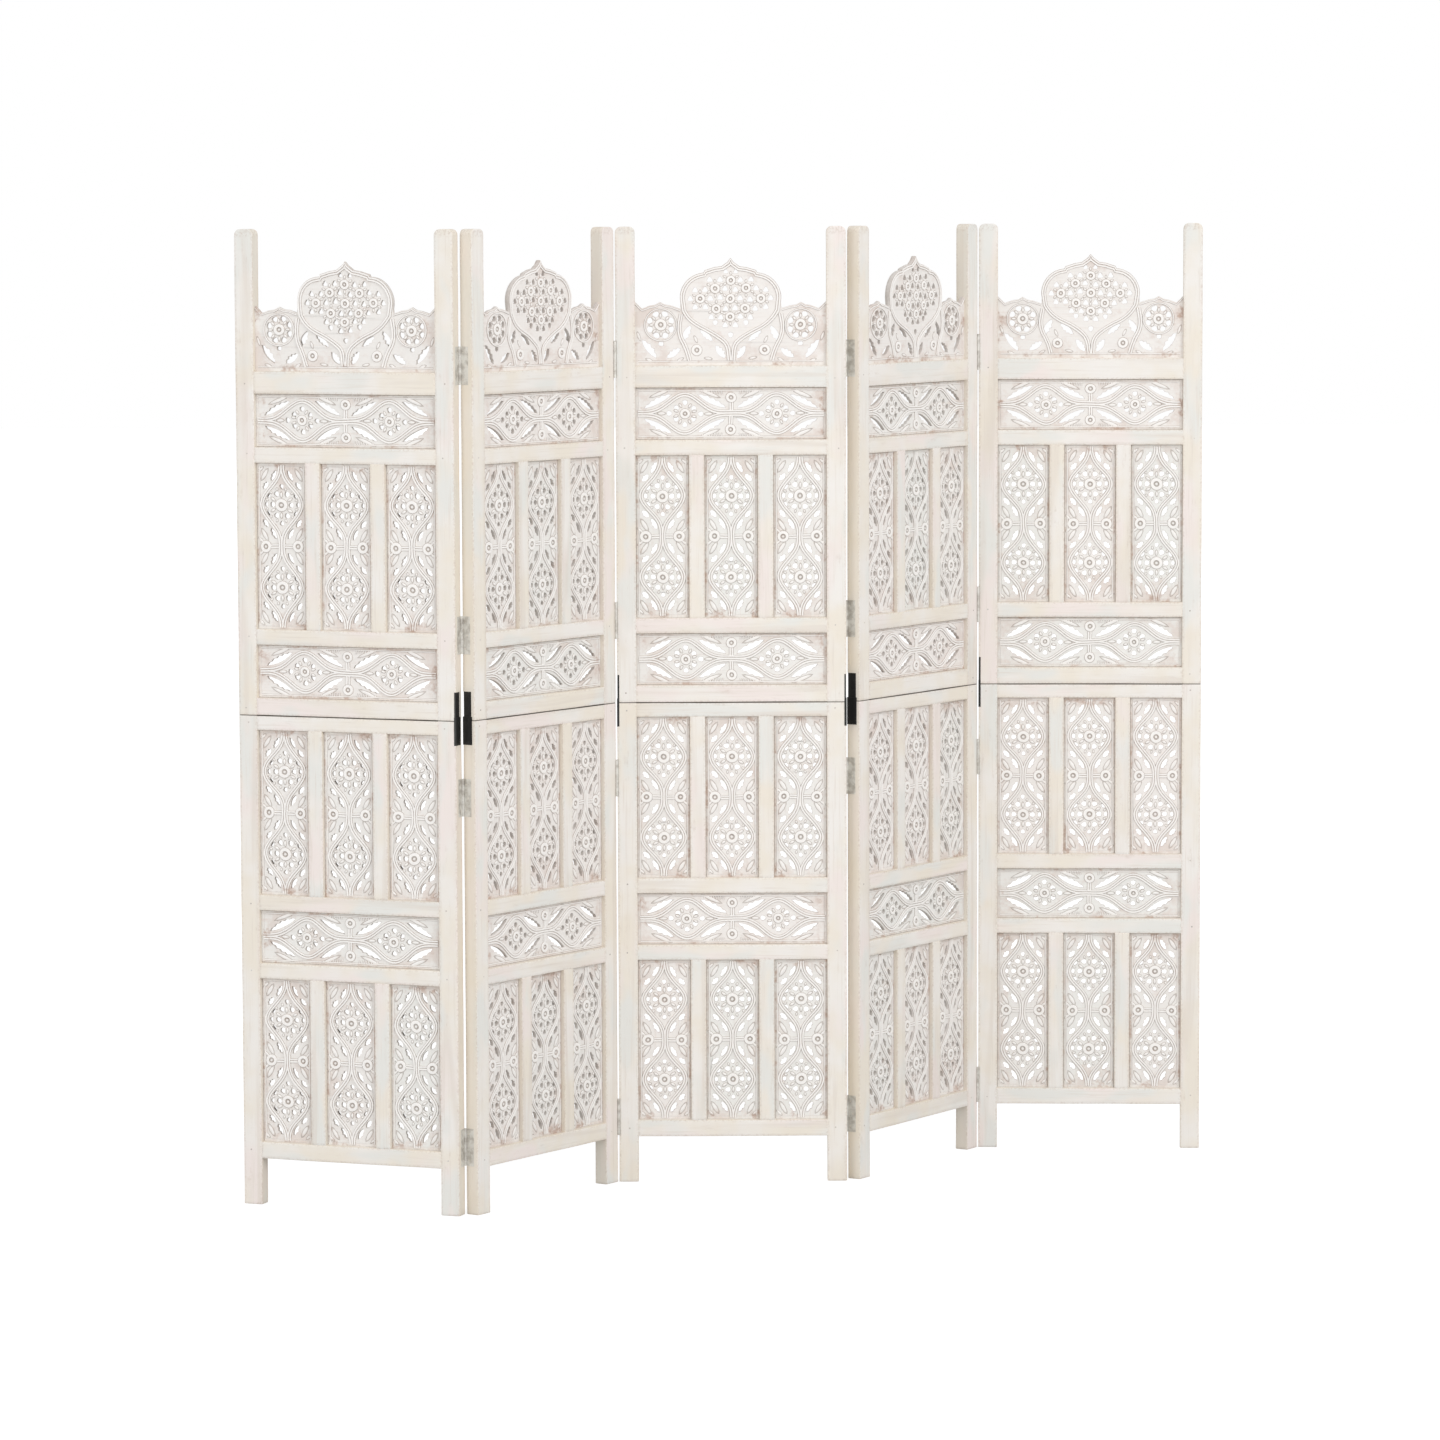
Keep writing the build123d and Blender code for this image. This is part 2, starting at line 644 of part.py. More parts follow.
def make_sockets(panel):
    """The sockets on the fold-line edges of a lower half, with their screws."""
    pieces = []
    shell_depths = (-STRAP_LET_IN, SOCKET_FACE)
    slot_depths = (-STRAP_LET_IN, TONGUE_FACE + TONGUE_CLEARANCE)
    slot_width = TONGUE_WIDTH + 2 * TONGUE_CLEARANCE
    slot_foot = -TONGUE_BELOW_SEAM - TONGUE_CLEARANCE
    places = socket_screw_places(panel)
    shell_heights = (-SOCKET_BELOW_SEAM, SOCKET_ABOVE_SEAM)
    for side, _ in hinge_edges(panel):
        shell = strap_block(panel, side, shell_depths, SOCKET_WIDTH, shell_heights)
        slot = strap_block(panel, side, slot_depths, slot_width, (slot_foot, SOCKET_ABOVE_SEAM))
        holes = [screw_cutter(side, SOCKET_FACE, y, z) for y, z in places]
        pieces.append(one_solid(shell - [slot] - holes))
        pieces += [screw(side, SOCKET_FACE, y, z) for y, z in places]
    return pieces


def hinge_recesses(panel, heights):
    """The recesses of the hinges and their screw holes, in the two posts of one half."""
    tools = {"left": [], "right": []}
    for side, face in hinge_edges(panel):
        for middle in heights:
            z_span = grown((middle, middle), HINGE_HEIGHT / 2)
            tools[side].append(hinge_plate(side, face, middle))
            tools[side].append(round_the_pin(side, face, BARREL_RADIUS + BARREL_CLEARANCE, z_span))
            tools[side] += [screw_cutter(side, 0, y, z) for y, z in hinge_screw_places(middle, face)]
    return tools


def lower_recesses(panel):
    """All that is cut from the outer edges of the lower posts."""
    tools = hinge_recesses(panel, LOWER_HINGES)
    depths = (-STRAP_LET_IN, 0)
    for side, _ in hinge_edges(panel):
        tools[side].append(strap_block(panel, side, depths, SOCKET_WIDTH, (-SOCKET_BELOW_SEAM, 0)))
        tools[side] += [screw_cutter(side, SOCKET_FACE, y, z) for y, z in socket_screw_places(panel)]
    return tools


def upper_recesses(panel):
    """All that is cut from the outer edges of the upper posts, with room for the socket's rim."""
    tools = hinge_recesses(panel, UPPER_HINGES)
    depths = (-STRAP_LET_IN, 0)
    rim_width = SOCKET_WIDTH + 2 * TONGUE_CLEARANCE
    rim_heights = (0, SOCKET_ABOVE_SEAM + TONGUE_CLEARANCE)
    for side, _ in hinge_edges(panel):
        tools[side].append(strap_block(panel, side, depths, TONGUE_WIDTH, (0, TONGUE_ABOVE_SEAM)))
        tools[side].append(strap_block(panel, side, depths, rim_width, rim_heights))
        tools[side] += [screw_cutter(side, TONGUE_FACE, y, z) for y, z in tongue_screw_places(panel)]
    return tools


# --- Panels in their zigzag ---------------------------------------------------------------


def panel_places():
    """The place of each panel's frame in plan, worked outwards from the middle panel."""
    places = [None] * PANEL_COUNT
    start = Rot(0, 0, PANEL_HEADINGS[MIDDLE_PANEL]) * Pos(-PANEL_WIDTH / 2, 0, 0)
    places[MIDDLE_PANEL] = start
    half_gap = PANEL_GAP / 2
    for panel in range(MIDDLE_PANEL - 1, -1, -1):
        axis_y = FOLD_LINE_FACES[panel] * PIN_AXIS_OFFSET
        turn = Rot(0, 0, PANEL_HEADINGS[panel] - PANEL_HEADINGS[panel + 1])
        pin = places[panel + 1] * Pos(-half_gap, axis_y, 0)
        places[panel] = pin * turn * Pos(-PANEL_WIDTH - half_gap, -axis_y, 0)
    for panel in range(MIDDLE_PANEL + 1, PANEL_COUNT):
        axis_y = FOLD_LINE_FACES[panel - 1] * PIN_AXIS_OFFSET
        turn = Rot(0, 0, PANEL_HEADINGS[panel] - PANEL_HEADINGS[panel - 1])
        pin = places[panel - 1] * Pos(PANEL_WIDTH + half_gap, axis_y, 0)
        places[panel] = pin * turn * Pos(half_gap, -axis_y, 0)
    return places


def plan_corners(panel):
    """The corners of a panel and its sockets in plan, in the panel's own frame."""
    corners = []
    for side in ("left", "right"):
        corners += [(edge_x(side, 0), y) for y in grown((0, 0), PANEL_THICKNESS / 2)]
    middle = strap_middle(panel)
    for side, _ in hinge_edges(panel):
        corners += [(edge_x(side, SOCKET_FACE), y) for y in grown((middle, middle), SOCKET_WIDTH / 2)]
    return corners


def plan_centre(places):
    """The middle, in plan, of the box round the panels. The hinges stay inside it."""
    corners = []
    for panel, place in enumerate(places):
        corners += [(place * Pos(x, y, 0)).position for x, y in plan_corners(panel)]
    across = [corner.X for corner in corners]
    deep = [corner.Y for corner in corners]
    return (min(across) + max(across)) / 2, (min(deep) + max(deep)) / 2


def standing_places():
    """The place of each panel, with the whole screen centred on the origin in plan."""
    places = panel_places()
    x, y = plan_centre(places)
    return [Pos(-x, -y, 0) * place for place in places]


def fold_axis(panel):
    """A point on the pin axis between a panel and the next one on its right."""
    place = standing_places()[panel]
    axis_y = FOLD_LINE_FACES[panel] * PIN_AXIS_OFFSET
    return (place * Pos(PANEL_WIDTH + PANEL_GAP / 2, axis_y, 0)).position


def panel_nodes(panel, slabs):
    """Every node of one panel, in the panel's own frame."""
    lower_openings = openings_of(LOWER_STACK, 0)
    upper_openings = openings_of(UPPER_STACK, SEAM_HEIGHT)
    lower_grooves = grooves_of(lower_openings)
    upper_grooves = grooves_of(upper_openings) + [crest_groove()]
    lower_rails = make_rails(LOWER_STACK, 0, lower_grooves)
    upper_rails = make_rails(UPPER_STACK, SEAM_HEIGHT, upper_grooves)
    return {
        "lower_posts": make_posts(
            LOWER_STACK, 0, SEAM_HEIGHT, False, lower_grooves, lower_recesses(panel)
        ),
        "lower_rails": lower_rails + make_muntins(LOWER_STACK, 0, lower_grooves),
        "lower_jali": slabs["lower"],
        "lower_hinge_leaves": make_hinges(panel, LOWER_HINGES),
        "lower_sockets": make_sockets(panel),
        "upper_posts": make_posts(
            UPPER_STACK, SEAM_HEIGHT, SCREEN_HEIGHT, True, upper_grooves, upper_recesses(panel)
        ),
        "upper_rails": upper_rails + make_muntins(UPPER_STACK, SEAM_HEIGHT, upper_grooves),
        "upper_jali": slabs["upper"],
        "crest": slabs["crest"],
        "upper_hinge_leaves": make_hinges(panel, UPPER_HINGES),
        "upper_tongues": make_tongues(panel),
    }


def make_all_slabs():
    """The slabs of one panel, by half. Every panel has the same ones."""
    sketches = {"jali": jali_sketch(), "frieze": frieze_sketch()}
    return {
        "lower": make_slabs(openings_of(LOWER_STACK, 0), sketches),
        "upper": make_slabs(openings_of(UPPER_STACK, SEAM_HEIGHT), sketches),
        "crest": [stand_slab(crest_sketch(), PANEL_WIDTH / 2, CREST_FOOT)],
    }


def make_screen():
    """Every node of the screen, as a name and its solids in place."""
    slabs = make_all_slabs()
    nodes = {}
    for panel, place in enumerate(standing_places()):
        for name, solids in panel_nodes(panel, slabs).items():
            nodes[f"panel_{panel + 1}_{name}"] = [place * solid for solid in solids]
    return nodes


def main():
    """Write one STEP file for each node."""
    os.makedirs("parts", exist_ok=True)
    for name, solids in make_screen().items():
        export_step(Compound(label=name, children=solids), f"parts/{name}.step")


if __name__ == "__main__":
    main()
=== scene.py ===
"""Looks of a folding jali screen: whitewashed mango wood, carved slabs and old steel fittings.

Lengths are metres and +Z is up. A panel is dressed in its own frame: X runs from its left edge
to its right one, Y = 0 is the middle of its thickness with the front at -Y, and Z = 0 is the
floor. Carved slabs are drawn flat, from the middle of their own opening, and stood up last.
"""

import functools
import json
import math
import random

import bpy
import numpy as np
from mathutils import Color, Matrix, Vector

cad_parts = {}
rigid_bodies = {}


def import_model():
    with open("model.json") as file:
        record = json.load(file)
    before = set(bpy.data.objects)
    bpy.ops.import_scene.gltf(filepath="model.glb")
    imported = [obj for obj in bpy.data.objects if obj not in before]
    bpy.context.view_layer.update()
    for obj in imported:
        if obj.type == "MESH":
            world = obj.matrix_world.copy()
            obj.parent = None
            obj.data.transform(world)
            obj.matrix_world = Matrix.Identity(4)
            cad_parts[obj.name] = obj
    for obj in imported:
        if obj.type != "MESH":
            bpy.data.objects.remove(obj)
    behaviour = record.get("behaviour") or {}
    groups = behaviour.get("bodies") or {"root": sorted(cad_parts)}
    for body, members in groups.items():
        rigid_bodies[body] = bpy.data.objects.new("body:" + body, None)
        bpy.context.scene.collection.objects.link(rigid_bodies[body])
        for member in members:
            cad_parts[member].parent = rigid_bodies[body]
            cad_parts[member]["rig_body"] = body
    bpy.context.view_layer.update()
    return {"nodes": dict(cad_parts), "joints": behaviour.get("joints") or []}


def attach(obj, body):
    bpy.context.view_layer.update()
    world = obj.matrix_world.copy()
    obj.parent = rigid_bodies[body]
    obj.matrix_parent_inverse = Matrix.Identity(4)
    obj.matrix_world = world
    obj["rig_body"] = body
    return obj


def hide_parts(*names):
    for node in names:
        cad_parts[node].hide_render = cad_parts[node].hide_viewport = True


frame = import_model()

bl_info = {
    "name": "Jali screen dresser",
    "version": (1, 0, 0),
    "blender": (4, 5, 0),
    "location": "3D View > Sidebar > Jali screen",
    "description": "Dresses the folding jali screen in carved and whitewashed wood",
    "category": "Object",
}

MM = 0.001

# The zigzag, by panel number: the panel's direction in plan, and the fold line and edge that
# place it.
PANEL_HEADINGS = {1: -20.0, 2: 54.0, 3: 0.0, 4: 56.0, 5: -3.0}
PLACED_BY = {
    1: ("fold_1", "right"),
    2: ("fold_2", "right"),
    3: ("fold_3", "right"),
    4: ("fold_3", "left"),
    5: ("fold_4", "left"),
}
# A fold's pins lie behind its panels (1) or in front of them (-1), off the middle of their thickness.
PIN_FACES = {"fold_1": 1, "fold_2": -1, "fold_3": 1, "fold_4": -1}
PANEL_GAP = 1.2 * MM
PIN_OFFSET = 13.3 * MM

# The frame of one panel.
PANEL_THICKNESS = 25 * MM
POST_WIDTH = 34 * MM
MUNTIN_WIDTH = 27 * MM
JALI_WIDTH = 91 * MM
JALI_HEIGHT = 279 * MM
FRIEZE_HEIGHT = 89 * MM
JALI_COLUMNS = 3
POST_RISE = 237 * MM
POST_TOP_RADIUS = 10 * MM
LOWER_STACK = (
    ("foot", 79 * MM),
    ("rail", 29 * MM),
    ("jali", JALI_HEIGHT),
    ("rail", 27 * MM),
    ("frieze", FRIEZE_HEIGHT),
    ("rail", 27 * MM),
    ("jali", JALI_HEIGHT),
    ("rail", 25 * MM),
)
UPPER_STACK = (
    ("rail", 30 * MM),
    ("frieze", FRIEZE_HEIGHT),
    ("rail", 27 * MM),
    ("jali", JALI_HEIGHT),
    ("rail", 27 * MM),
    ("frieze", FRIEZE_HEIGHT),
    ("rail", 38 * MM),
)
OPENING_WIDTH = JALI_COLUMNS * JALI_WIDTH + (JALI_COLUMNS - 1) * MUNTIN_WIDTH
PANEL_WIDTH = OPENING_WIDTH + 2 * POST_WIDTH
SEAM_HEIGHT = sum(height for _, height in LOWER_STACK)
CREST_FOOT = SEAM_HEIGHT + sum(height for _, height in UPPER_STACK)
SCREEN_HEIGHT = CREST_FOOT + POST_RISE

# The slabs in their grooves.
SLAB_THICKNESS = 11 * MM
SLAB_RECESS = 6 * MM
SLAB_MIDDLE = -PANEL_THICKNESS / 2 + SLAB_RECESS + SLAB_THICKNESS / 2
SLAB_TUCK = 2.5 * MM

# The recesses of the straps at the seam, in the posts beside a fold line: width and reach from
# the seam. They are cut from the front of odd panels and from the back of even ones.
STRAP_LET_IN = 3.8 * MM
LOWER_RECESS = (19.1 * MM, 41.1 * MM)
UPPER_RECESSES = ((19.4 * MM, 6.2 * MM), (17.8 * MM, 48.1 * MM))

# The corners of those posts are cut back round the barrels of the hinges.
HINGE_MIDDLES = {
    "lower": (114 * MM, SEAM_HEIGHT - 130 * MM),
    "upper": (SEAM_HEIGHT + 142 * MM, SCREEN_HEIGHT - 226 * MM),
}
HINGE_HALF_HEIGHT = 31.9 * MM
BARREL_CORNER = (2.0 * MM, 2.2 * MM)

# An upright jali slab has two flowers. What stands round a flower is measured from its middle.
# Dots are rows of (reach, bearings, length, width), leaf holes are rows of (place, lean, length, width),
# and petals and leaves are the same rows with their share of the full relief.
FLOWER_FROM_MIDDLE = JALI_HEIGHT / 4
FLOWER_RADIUS = 11 * MM
FLOWER_DOTS = (
    (16 * MM, (0, 180), 9.2 * MM, 8.6 * MM),
    (20 * MM, (63, 117, 243, 297), 9.2 * MM, 8.6 * MM),
)
# Bean-shaped holes: reach, bearings, half the spread in degrees and width.
FLOWER_BEANS = (28.5 * MM, (0, 31, 149, 180, 211, 329), 8.5, 6 * MM)
FLOWER_TIP_DOTS = ((31 * MM, (90, 270), 8 * MM, 7 * MM),)
FLOWER_PETALS = (
    (17.5 * MM, (32, 90, 148, 212, 270, 328), 11 * MM, 5 * MM, 1.0),
    (27.5 * MM, (16, 47, 74, 106, 133, 164, 196, 227, 254, 286, 313, 344), 6 * MM, 4 * MM, 0.7),
)
JALI_LEAF_HOLES = (
    ((29.5 * MM, 31 * MM), 50, 16 * MM, 9 * MM),
    ((14.5 * MM, 48.5 * MM), 61, 21 * MM, 8 * MM),
)
JALI_LEAVES = (
    ((31 * MM, 50 * MM), 58, 26 * MM, 8 * MM, 0.8),
    ((38 * MM, 59 * MM), 40, 14 * MM, 5 * MM, 0.7),
)
JALI_TEETH = 3
SIDE_ROSETTE_REACH = 29 * MM
SIDE_ROSETTE_RADIUS = 10.4 * MM
# A side stem starts and ends at these distances from the middle.
SIDE_STEM = (5.5 * MM, 19 * MM)
SIDE_STEM_SHARE = 0.8
# How far the twin stems keep from the slab's middle line where they meet.
STEM_REST = 1.9 * MM
# Twin stems: half their length, their points, where they swell, how far and how sharply.
JALI_STEMS = (JALI_HEIGHT / 2 - 3 * MM, 61, FLOWER_FROM_MIDDLE, 34.5 * MM, 1.5)
EYELET_WIDTH = 3.6 * MM

# A frieze has two eyes. What stands round an eye is measured from its middle.
EYE_FROM_MIDDLE = 79 * MM
FRIEZE_STEMS = (OPENING_WIDTH / 2 - 4 * MM, 71, EYE_FROM_MIDDLE, 31 * MM, 2)
EYE_RADIUS = 9 * MM
EYE_DOTS = (
    (26.5 * MM, (0, 180), 9 * MM, 8.6 * MM),
    (19 * MM, (90, 270), 9 * MM, 8.6 * MM),
    (17.3 * MM, (33, 147, 213, 327), 8.8 * MM, 8.2 * MM),
)
EYE_PETALS = ((16 * MM, (16, 60, 120, 164, 196, 240, 300, 344), 9 * MM, 4.5 * MM, 1.0),)
EYE_END_PETALS = ((40 * MM, (0, 180), 16 * MM, 6 * MM, 0.7),)
FRIEZE_LEAF_HOLES = (((46 * MM, 20.5 * MM), 27, 52 * MM, 10.5 * MM),)
FRIEZE_LEAVES = (((43 * MM, 34 * MM), 22, 40 * MM, 7 * MM, 0.8),)
FRIEZE_TEETH = 5
FRIEZE_ROSETTE_HEIGHT = 27.5 * MM
FRIEZE_ROSETTE_RADIUS = 9.3 * MM
FRIEZE_STEM = (5 * MM, 18.5 * MM)
HATCH_STROKES = 9
HATCH_START = 15 * MM
HATCH_PITCH = 4.2 * MM
HATCH_FOOT = 33 * MM
HATCH_CLIMB = 0.35 * MM
HATCH_LEAN = 1.5 * MM
HATCH_TOP = 39.5 * MM
HATCH_WIDTH = 1.4 * MM
HATCH_SHARE = 0.5

# The crest, from the middle of the top rail's upper face: its edge from the peak to the notch over
# the dome, the arc round the dome, and the brow over a medallion, from that one's middle.
CREST_PEAK = 183 * MM
CREST_TOP = (
    (0, CREST_PEAK),
    (5 * MM, 176.5 * MM),
    (15 * MM, 169 * MM),
    (28 * MM, 167 * MM),
    (44 * MM, 162 * MM),
    (46 * MM, 158 * MM),
)
DOME_SHOULDER = (77 * MM, 143 * MM)
DOME_WIDEST = (86 * MM, 107 * MM)
DOME_STEPS = 12
SADDLE = (87 * MM, 97 * MM)
MEDALLION_FROM_MIDDLE = OPENING_WIDTH / 2 - 43.5 * MM
MEDALLION_BROW = ((0, 108 * MM), (8 * MM, 103.5 * MM), (18 * MM, 102 * MM))
CREST_END_RISE = 12 * MM
CREST_END_HEIGHT = 109 * MM

# The dome's rosettes and the dots round them. Rosettes and low dots are (aside, height) in mm, and
# stand on both sides of the middle line.
DOME_ROSETTES = ((0, 145), (27, 131), (52, 114), (0, 114), (25, 97), (0, 83))
DOME_ROSETTE_RADIUS = 8.3 * MM
DOME_DOT_REACH = 17 * MM
DOME_DOT_WIDTH = 10.6 * MM
PEAK_DOT_WIDTH = 8.8 * MM
PEAK_DOTS_FROM = 155 * MM
DOT_SPACING = 7.5 * MM
LOW_DOTS = ((26, 73), (0, 51))
LOW_DOT_SIZE = (9.4 * MM, 8.4 * MM)
DOME_LINE_INSIDE = 4.2 * MM
DOME_PETALS = ((12 * MM, range(30, 390, 60), 7 * MM, 4 * MM, 0.8),)

# The medallions, the rosettes at the foot, and the stems, leaves and leaflets of one side in mm.
MEDALLION_HEIGHT = 69 * MM
MEDALLION_RADIUS = 10 * MM
MEDALLION_RING = 27 * MM
RING_STEP = 12
MEDALLION_DOTS = ((19 * MM, np.arange(22.5, 360, 45), 9.4 * MM, 10.4 * MM),)
MEDALLION_PETALS = ((15.5 * MM, range(0, 360, 45), 9 * MM, 4.5 * MM, 1.0),)
MEDALLION_FOOT_DOT = 38 * MM
BROW_LINE_INSIDE = 3.5 * MM
FOOT_ROSETTE = (58 * MM, 26 * MM)
FOOT_ROSETTE_RADIUS = 9.5 * MM
FALLING_STEM = ((80, 93), (71, 79), (56, 67), (36, 58), (18, 47), (5, 34), (3, 8))
SPRAY_STEM = ((85, 88), (89, 66), (86, 48), (77, 32), (70, 8))
CREST_LINE_WIDTH = 2 * MM
RING_SHARE = 0.9
BROW_SHARE = 0.8
FOOT_LINE_SHARE = 0.5
# The line along the crest's foot: its distance from the ends and its height.
FOOT_LINE = (5 * MM, 7 * MM)
# Leaf holes: distance from the middle, height, turn in degrees, length, width, toothed side.
CREST_LEAF_HOLES = (
    (76, 54, -62, 31, 12, -1),
    (41, 51, 38, 29, 10, -1),
    (18, 22, 56, 26, 12, 1),
    (97, 21, -34, 28, 12, 1),
    (140, 28, 53, 39, 12, 1),
)
CREST_TEETH = 4
# Leaflets: distance from the middle, height, turn in degrees, length.
CREST_LEAFLETS = (
    (38, 12, 10, 15),
    (60, 44, 65, 14),
    (86, 10, -25, 13),
    (140, 9, 20, 14),
    (157, 50, 70, 18),
)
LEAFLET_WIDTH = 5 * MM
LEAFLET_SHARE = 0.7


# --- Shared mesh and placing helpers --------------------------------------------------------


class Build:
    """Points, faces and named values of one piece, gathered while its sub-parts are made."""

    def __init__(self):
        self.points = []
        self.faces = []
        self.values = {}
        self.count = 0

    def add(self, points, faces, **values):
        """Adds a sub-part: points, faces and, for each named value, one row to every point."""
        points = np.asarray(points, float)
        self.points.append(points)
        self.faces += [tuple(self.count + index for index in face) for face in faces]
        for name, rows in values.items():
            self.values.setdefault(name, []).append(np.asarray(rows, float))
        self.count += len(points)

    def gathered(self):
        """All points as one array, and each value as one array."""
        values = {name: np.concatenate(rows) for name, rows in self.values.items()}
        return np.concatenate(self.points), values


def moved(points, matrix):
    """Points carried by a 4 x 4 matrix."""
    matrix = np.array(matrix)
    return points @ matrix[:3, :3].T + matrix[:3, 3]


def ring_faces(rows, sides):
    """Quads that join rows of points. Each row runs once round the form."""
    faces = []
    for row in range(rows - 1):
        outer, inner = row * sides, (row + 1) * sides
        for step in range(sides):
            following = (step + 1) % sides
            faces.append((outer + step, outer + following, inner + following, inner + step))
    return faces


def turning(profile, sides):
    """Points and faces of a round form from rows of (radius, height), from its rim inwards."""
    points = []
    for radius, height in profile:
        for step in range(sides):
            angle = math.tau * step / sides
            points.append((radius * math.cos(angle), radius * math.sin(angle), height))
    inmost = (len(profile) - 1) * sides
    return np.array(points), [*ring_faces(len(profile), sides), tuple(range(inmost, inmost + sides))]


def make_piece(name, build, place, surface, sharp_angle):
    """A mesh object from what was gathered, set in the row frame."""
    points, values = build.gathered()
    mesh = bpy.data.meshes.new(name)
    mesh.from_pydata(moved(points, place).tolist(), [], build.faces)
    for key, rows in values.items():
        vector = rows.ndim == 2
        attribute = mesh.attributes.new(key, "FLOAT_VECTOR" if vector else "FLOAT", "POINT")
        attribute.data.foreach_set("vector" if vector else "value", rows.astype(np.float32).ravel())
    mesh.materials.append(surface)
    mesh.polygons.foreach_set("use_smooth", np.ones(len(mesh.polygons), bool))
    mesh.set_sharp_from_angle(angle=math.radians(sharp_angle))
    piece = bpy.data.objects.new(name, mesh)
    bpy.context.scene.collection.objects.link(piece)
    return piece


def dress(build, number, part, finish):
    """Makes the visible piece of a panel's CAD node. It moves as that node does."""
    ending, slot, surface, sharp_angle = finish
    node = f"panel_{number}_{part}"
    piece = make_piece(node + ending, build, panel_place(number), material(surface), sharp_angle)
    body = frame["nodes"][node]["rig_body"]
    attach(piece, body)
    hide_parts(node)


def panel_place(number):
    """The matrix of a panel's own frame, from the fold line that it turns on."""
    fold, edge = PLACED_BY[number]
    joint = next(joint for joint in frame["joints"] if joint["name"] == fold)
    across = -PANEL_GAP / 2 if edge == "left" else PANEL_WIDTH + PANEL_GAP / 2
    pin = Vector((joint["pos_m"][0], joint["pos_m"][1], 0))
    turn = Matrix.Rotation(math.radians(PANEL_HEADINGS[number]), 4, "Z")
    from_pin = Matrix.Translation((-across, -PIN_FACES[fold] * PIN_OFFSET, 0))
    return Matrix.Translation(pin) @ turn @ from_pin


def stack_spans(stack, start):
    """The height span of each member of a stack, as (kind, bottom, top)."""
    spans = []
    for kind, height in stack:
        spans.append((kind, start, start + height))
        start += height
    return spans


def column_starts():
    """The X of the left side of each upright opening."""
    return [POST_WIDTH + column * (JALI_WIDTH + MUNTIN_WIDTH) for column in range(JALI_COLUMNS)]


HALVES = {
    "lower": (LOWER_STACK, 0.0, SEAM_HEIGHT),
    "upper": (UPPER_STACK, SEAM_HEIGHT, SCREEN_HEIGHT),
}


# --- Whitewashed boards ---------------------------------------------------------------------


# Half the distance between two sections, or two points of one, where a board's form changes at once.
STEP = 0.02 * MM
# How fast a hand-planed board strays up its length: two waves across it and two in its depth.
WAVE_PITCHES = np.array([(21, 47), (17, 53)])
GRAIN_REACH = 5
# How far in from both faces a round arris lies half way round it, as a share of its radius.
ARRIS_INSET = 0.3
PEG_SIDES = 10
PEG_PROUD = 0.25 * MM
# A peg's flat top as a share of its radius, and how much of the peg tone the palest peg takes.
PEG_TOP = 0.8
PEG_PALEST = 0.35
# How far in mm a peg stands from the middle of its post and its rail.
PEG_STRAY_X = 4
PEG_STRAY_Z = 3


def board_section(half_width, half_depth, radius, skin):
    """Points round a board's section with, at each, its nearness to an arris and to a side face."""
    points, arris, side = [], [], []
    for way_x, way_y, start in ((1, 1, 0), (-1, 1, 90), (-1, -1, 180), (1, -1, 270)):
        corner = (way_x * (half_width - radius), way_y * (half_depth - radius))
        for step in range(3):
            angle = math.radians(start + 45 * step)
            reach = (radius * math.cos(angle), radius * math.sin(angle))
            points.append((corner[0] + reach[0], corner[1] + reach[1]))
            arris.append(1.0)
            side.append(abs(math.cos(angle)))
        if start in (0, 180):
            across, level = way_x * (half_width - skin), way_y * half_depth
            rows = [(across, level), (-across, level)]
            side += [0.0, 0.0]
        else:
            across, near = way_x * half_width, way_y * STEP
            level = way_y * (half_depth - skin)
            rows = [(across, level), (across, near), (across, -near), (across, -level)]
            side += [1.0] * 4
        points += rows
        arris += [0.0] * len(rows)
    return np.array(points), np.array(arris), np.array(side)


def plain_end(radius, skin):
    """Stations of a sawn end with a soft arris, as (distance in, inset across, inset in depth, wear)."""
    soft = ARRIS_INSET * radius
    rounding = [(0.0, radius, radius, 1.0), (soft, soft, soft, 1.0), (radius, 0.0, 0.0, 1.0)]
    return rounding + [(skin, 0.0, 0.0, 0.0)]


def domed_end(radius, dome, skin):
    """Stations of a post top that is rounded across the post."""
    stations = []
    for angle in range(90, -1, -15):
        drop = dome * (1 - math.sin(math.radians(angle)) if angle else 1)
        inset = dome * (1 - math.cos(math.radians(angle)))
        stations.append((max(drop, 0.0), inset, max(radius - drop, 0.0), 1.0))
    return stations + [(dome + skin, 0.0, 0.0, 0.0)]


def notched(ring, notch):
    """A board's section with one edge cut back, from a face as far as the notch is wide."""
    _, _, side, face, wide, deep = notch
    cut = ring.copy()
    on_edge = np.flatnonzero(cut[:, 0] * side > cut[:, 0].max() - STEP)
    flat = on_edge[np.abs(cut[on_edge, 1]) < np.abs(cut[on_edge, 1]).max() - STEP]
    split = face * (PANEL_THICKNESS / 2 - wide)
    levels = np.where(np.abs(cut[flat, 1]) < 2 * STEP, cut[flat, 1] + split, cut[flat, 1])
    cut[flat, 1] = side * np.sort(side * levels)
    floor = POST_WIDTH / 2 - deep
    gone = (cut[:, 0] * side > floor) & ((cut[:, 1] - split) * face > 0)
    cut[gone, 0] = side * floor
    return cut


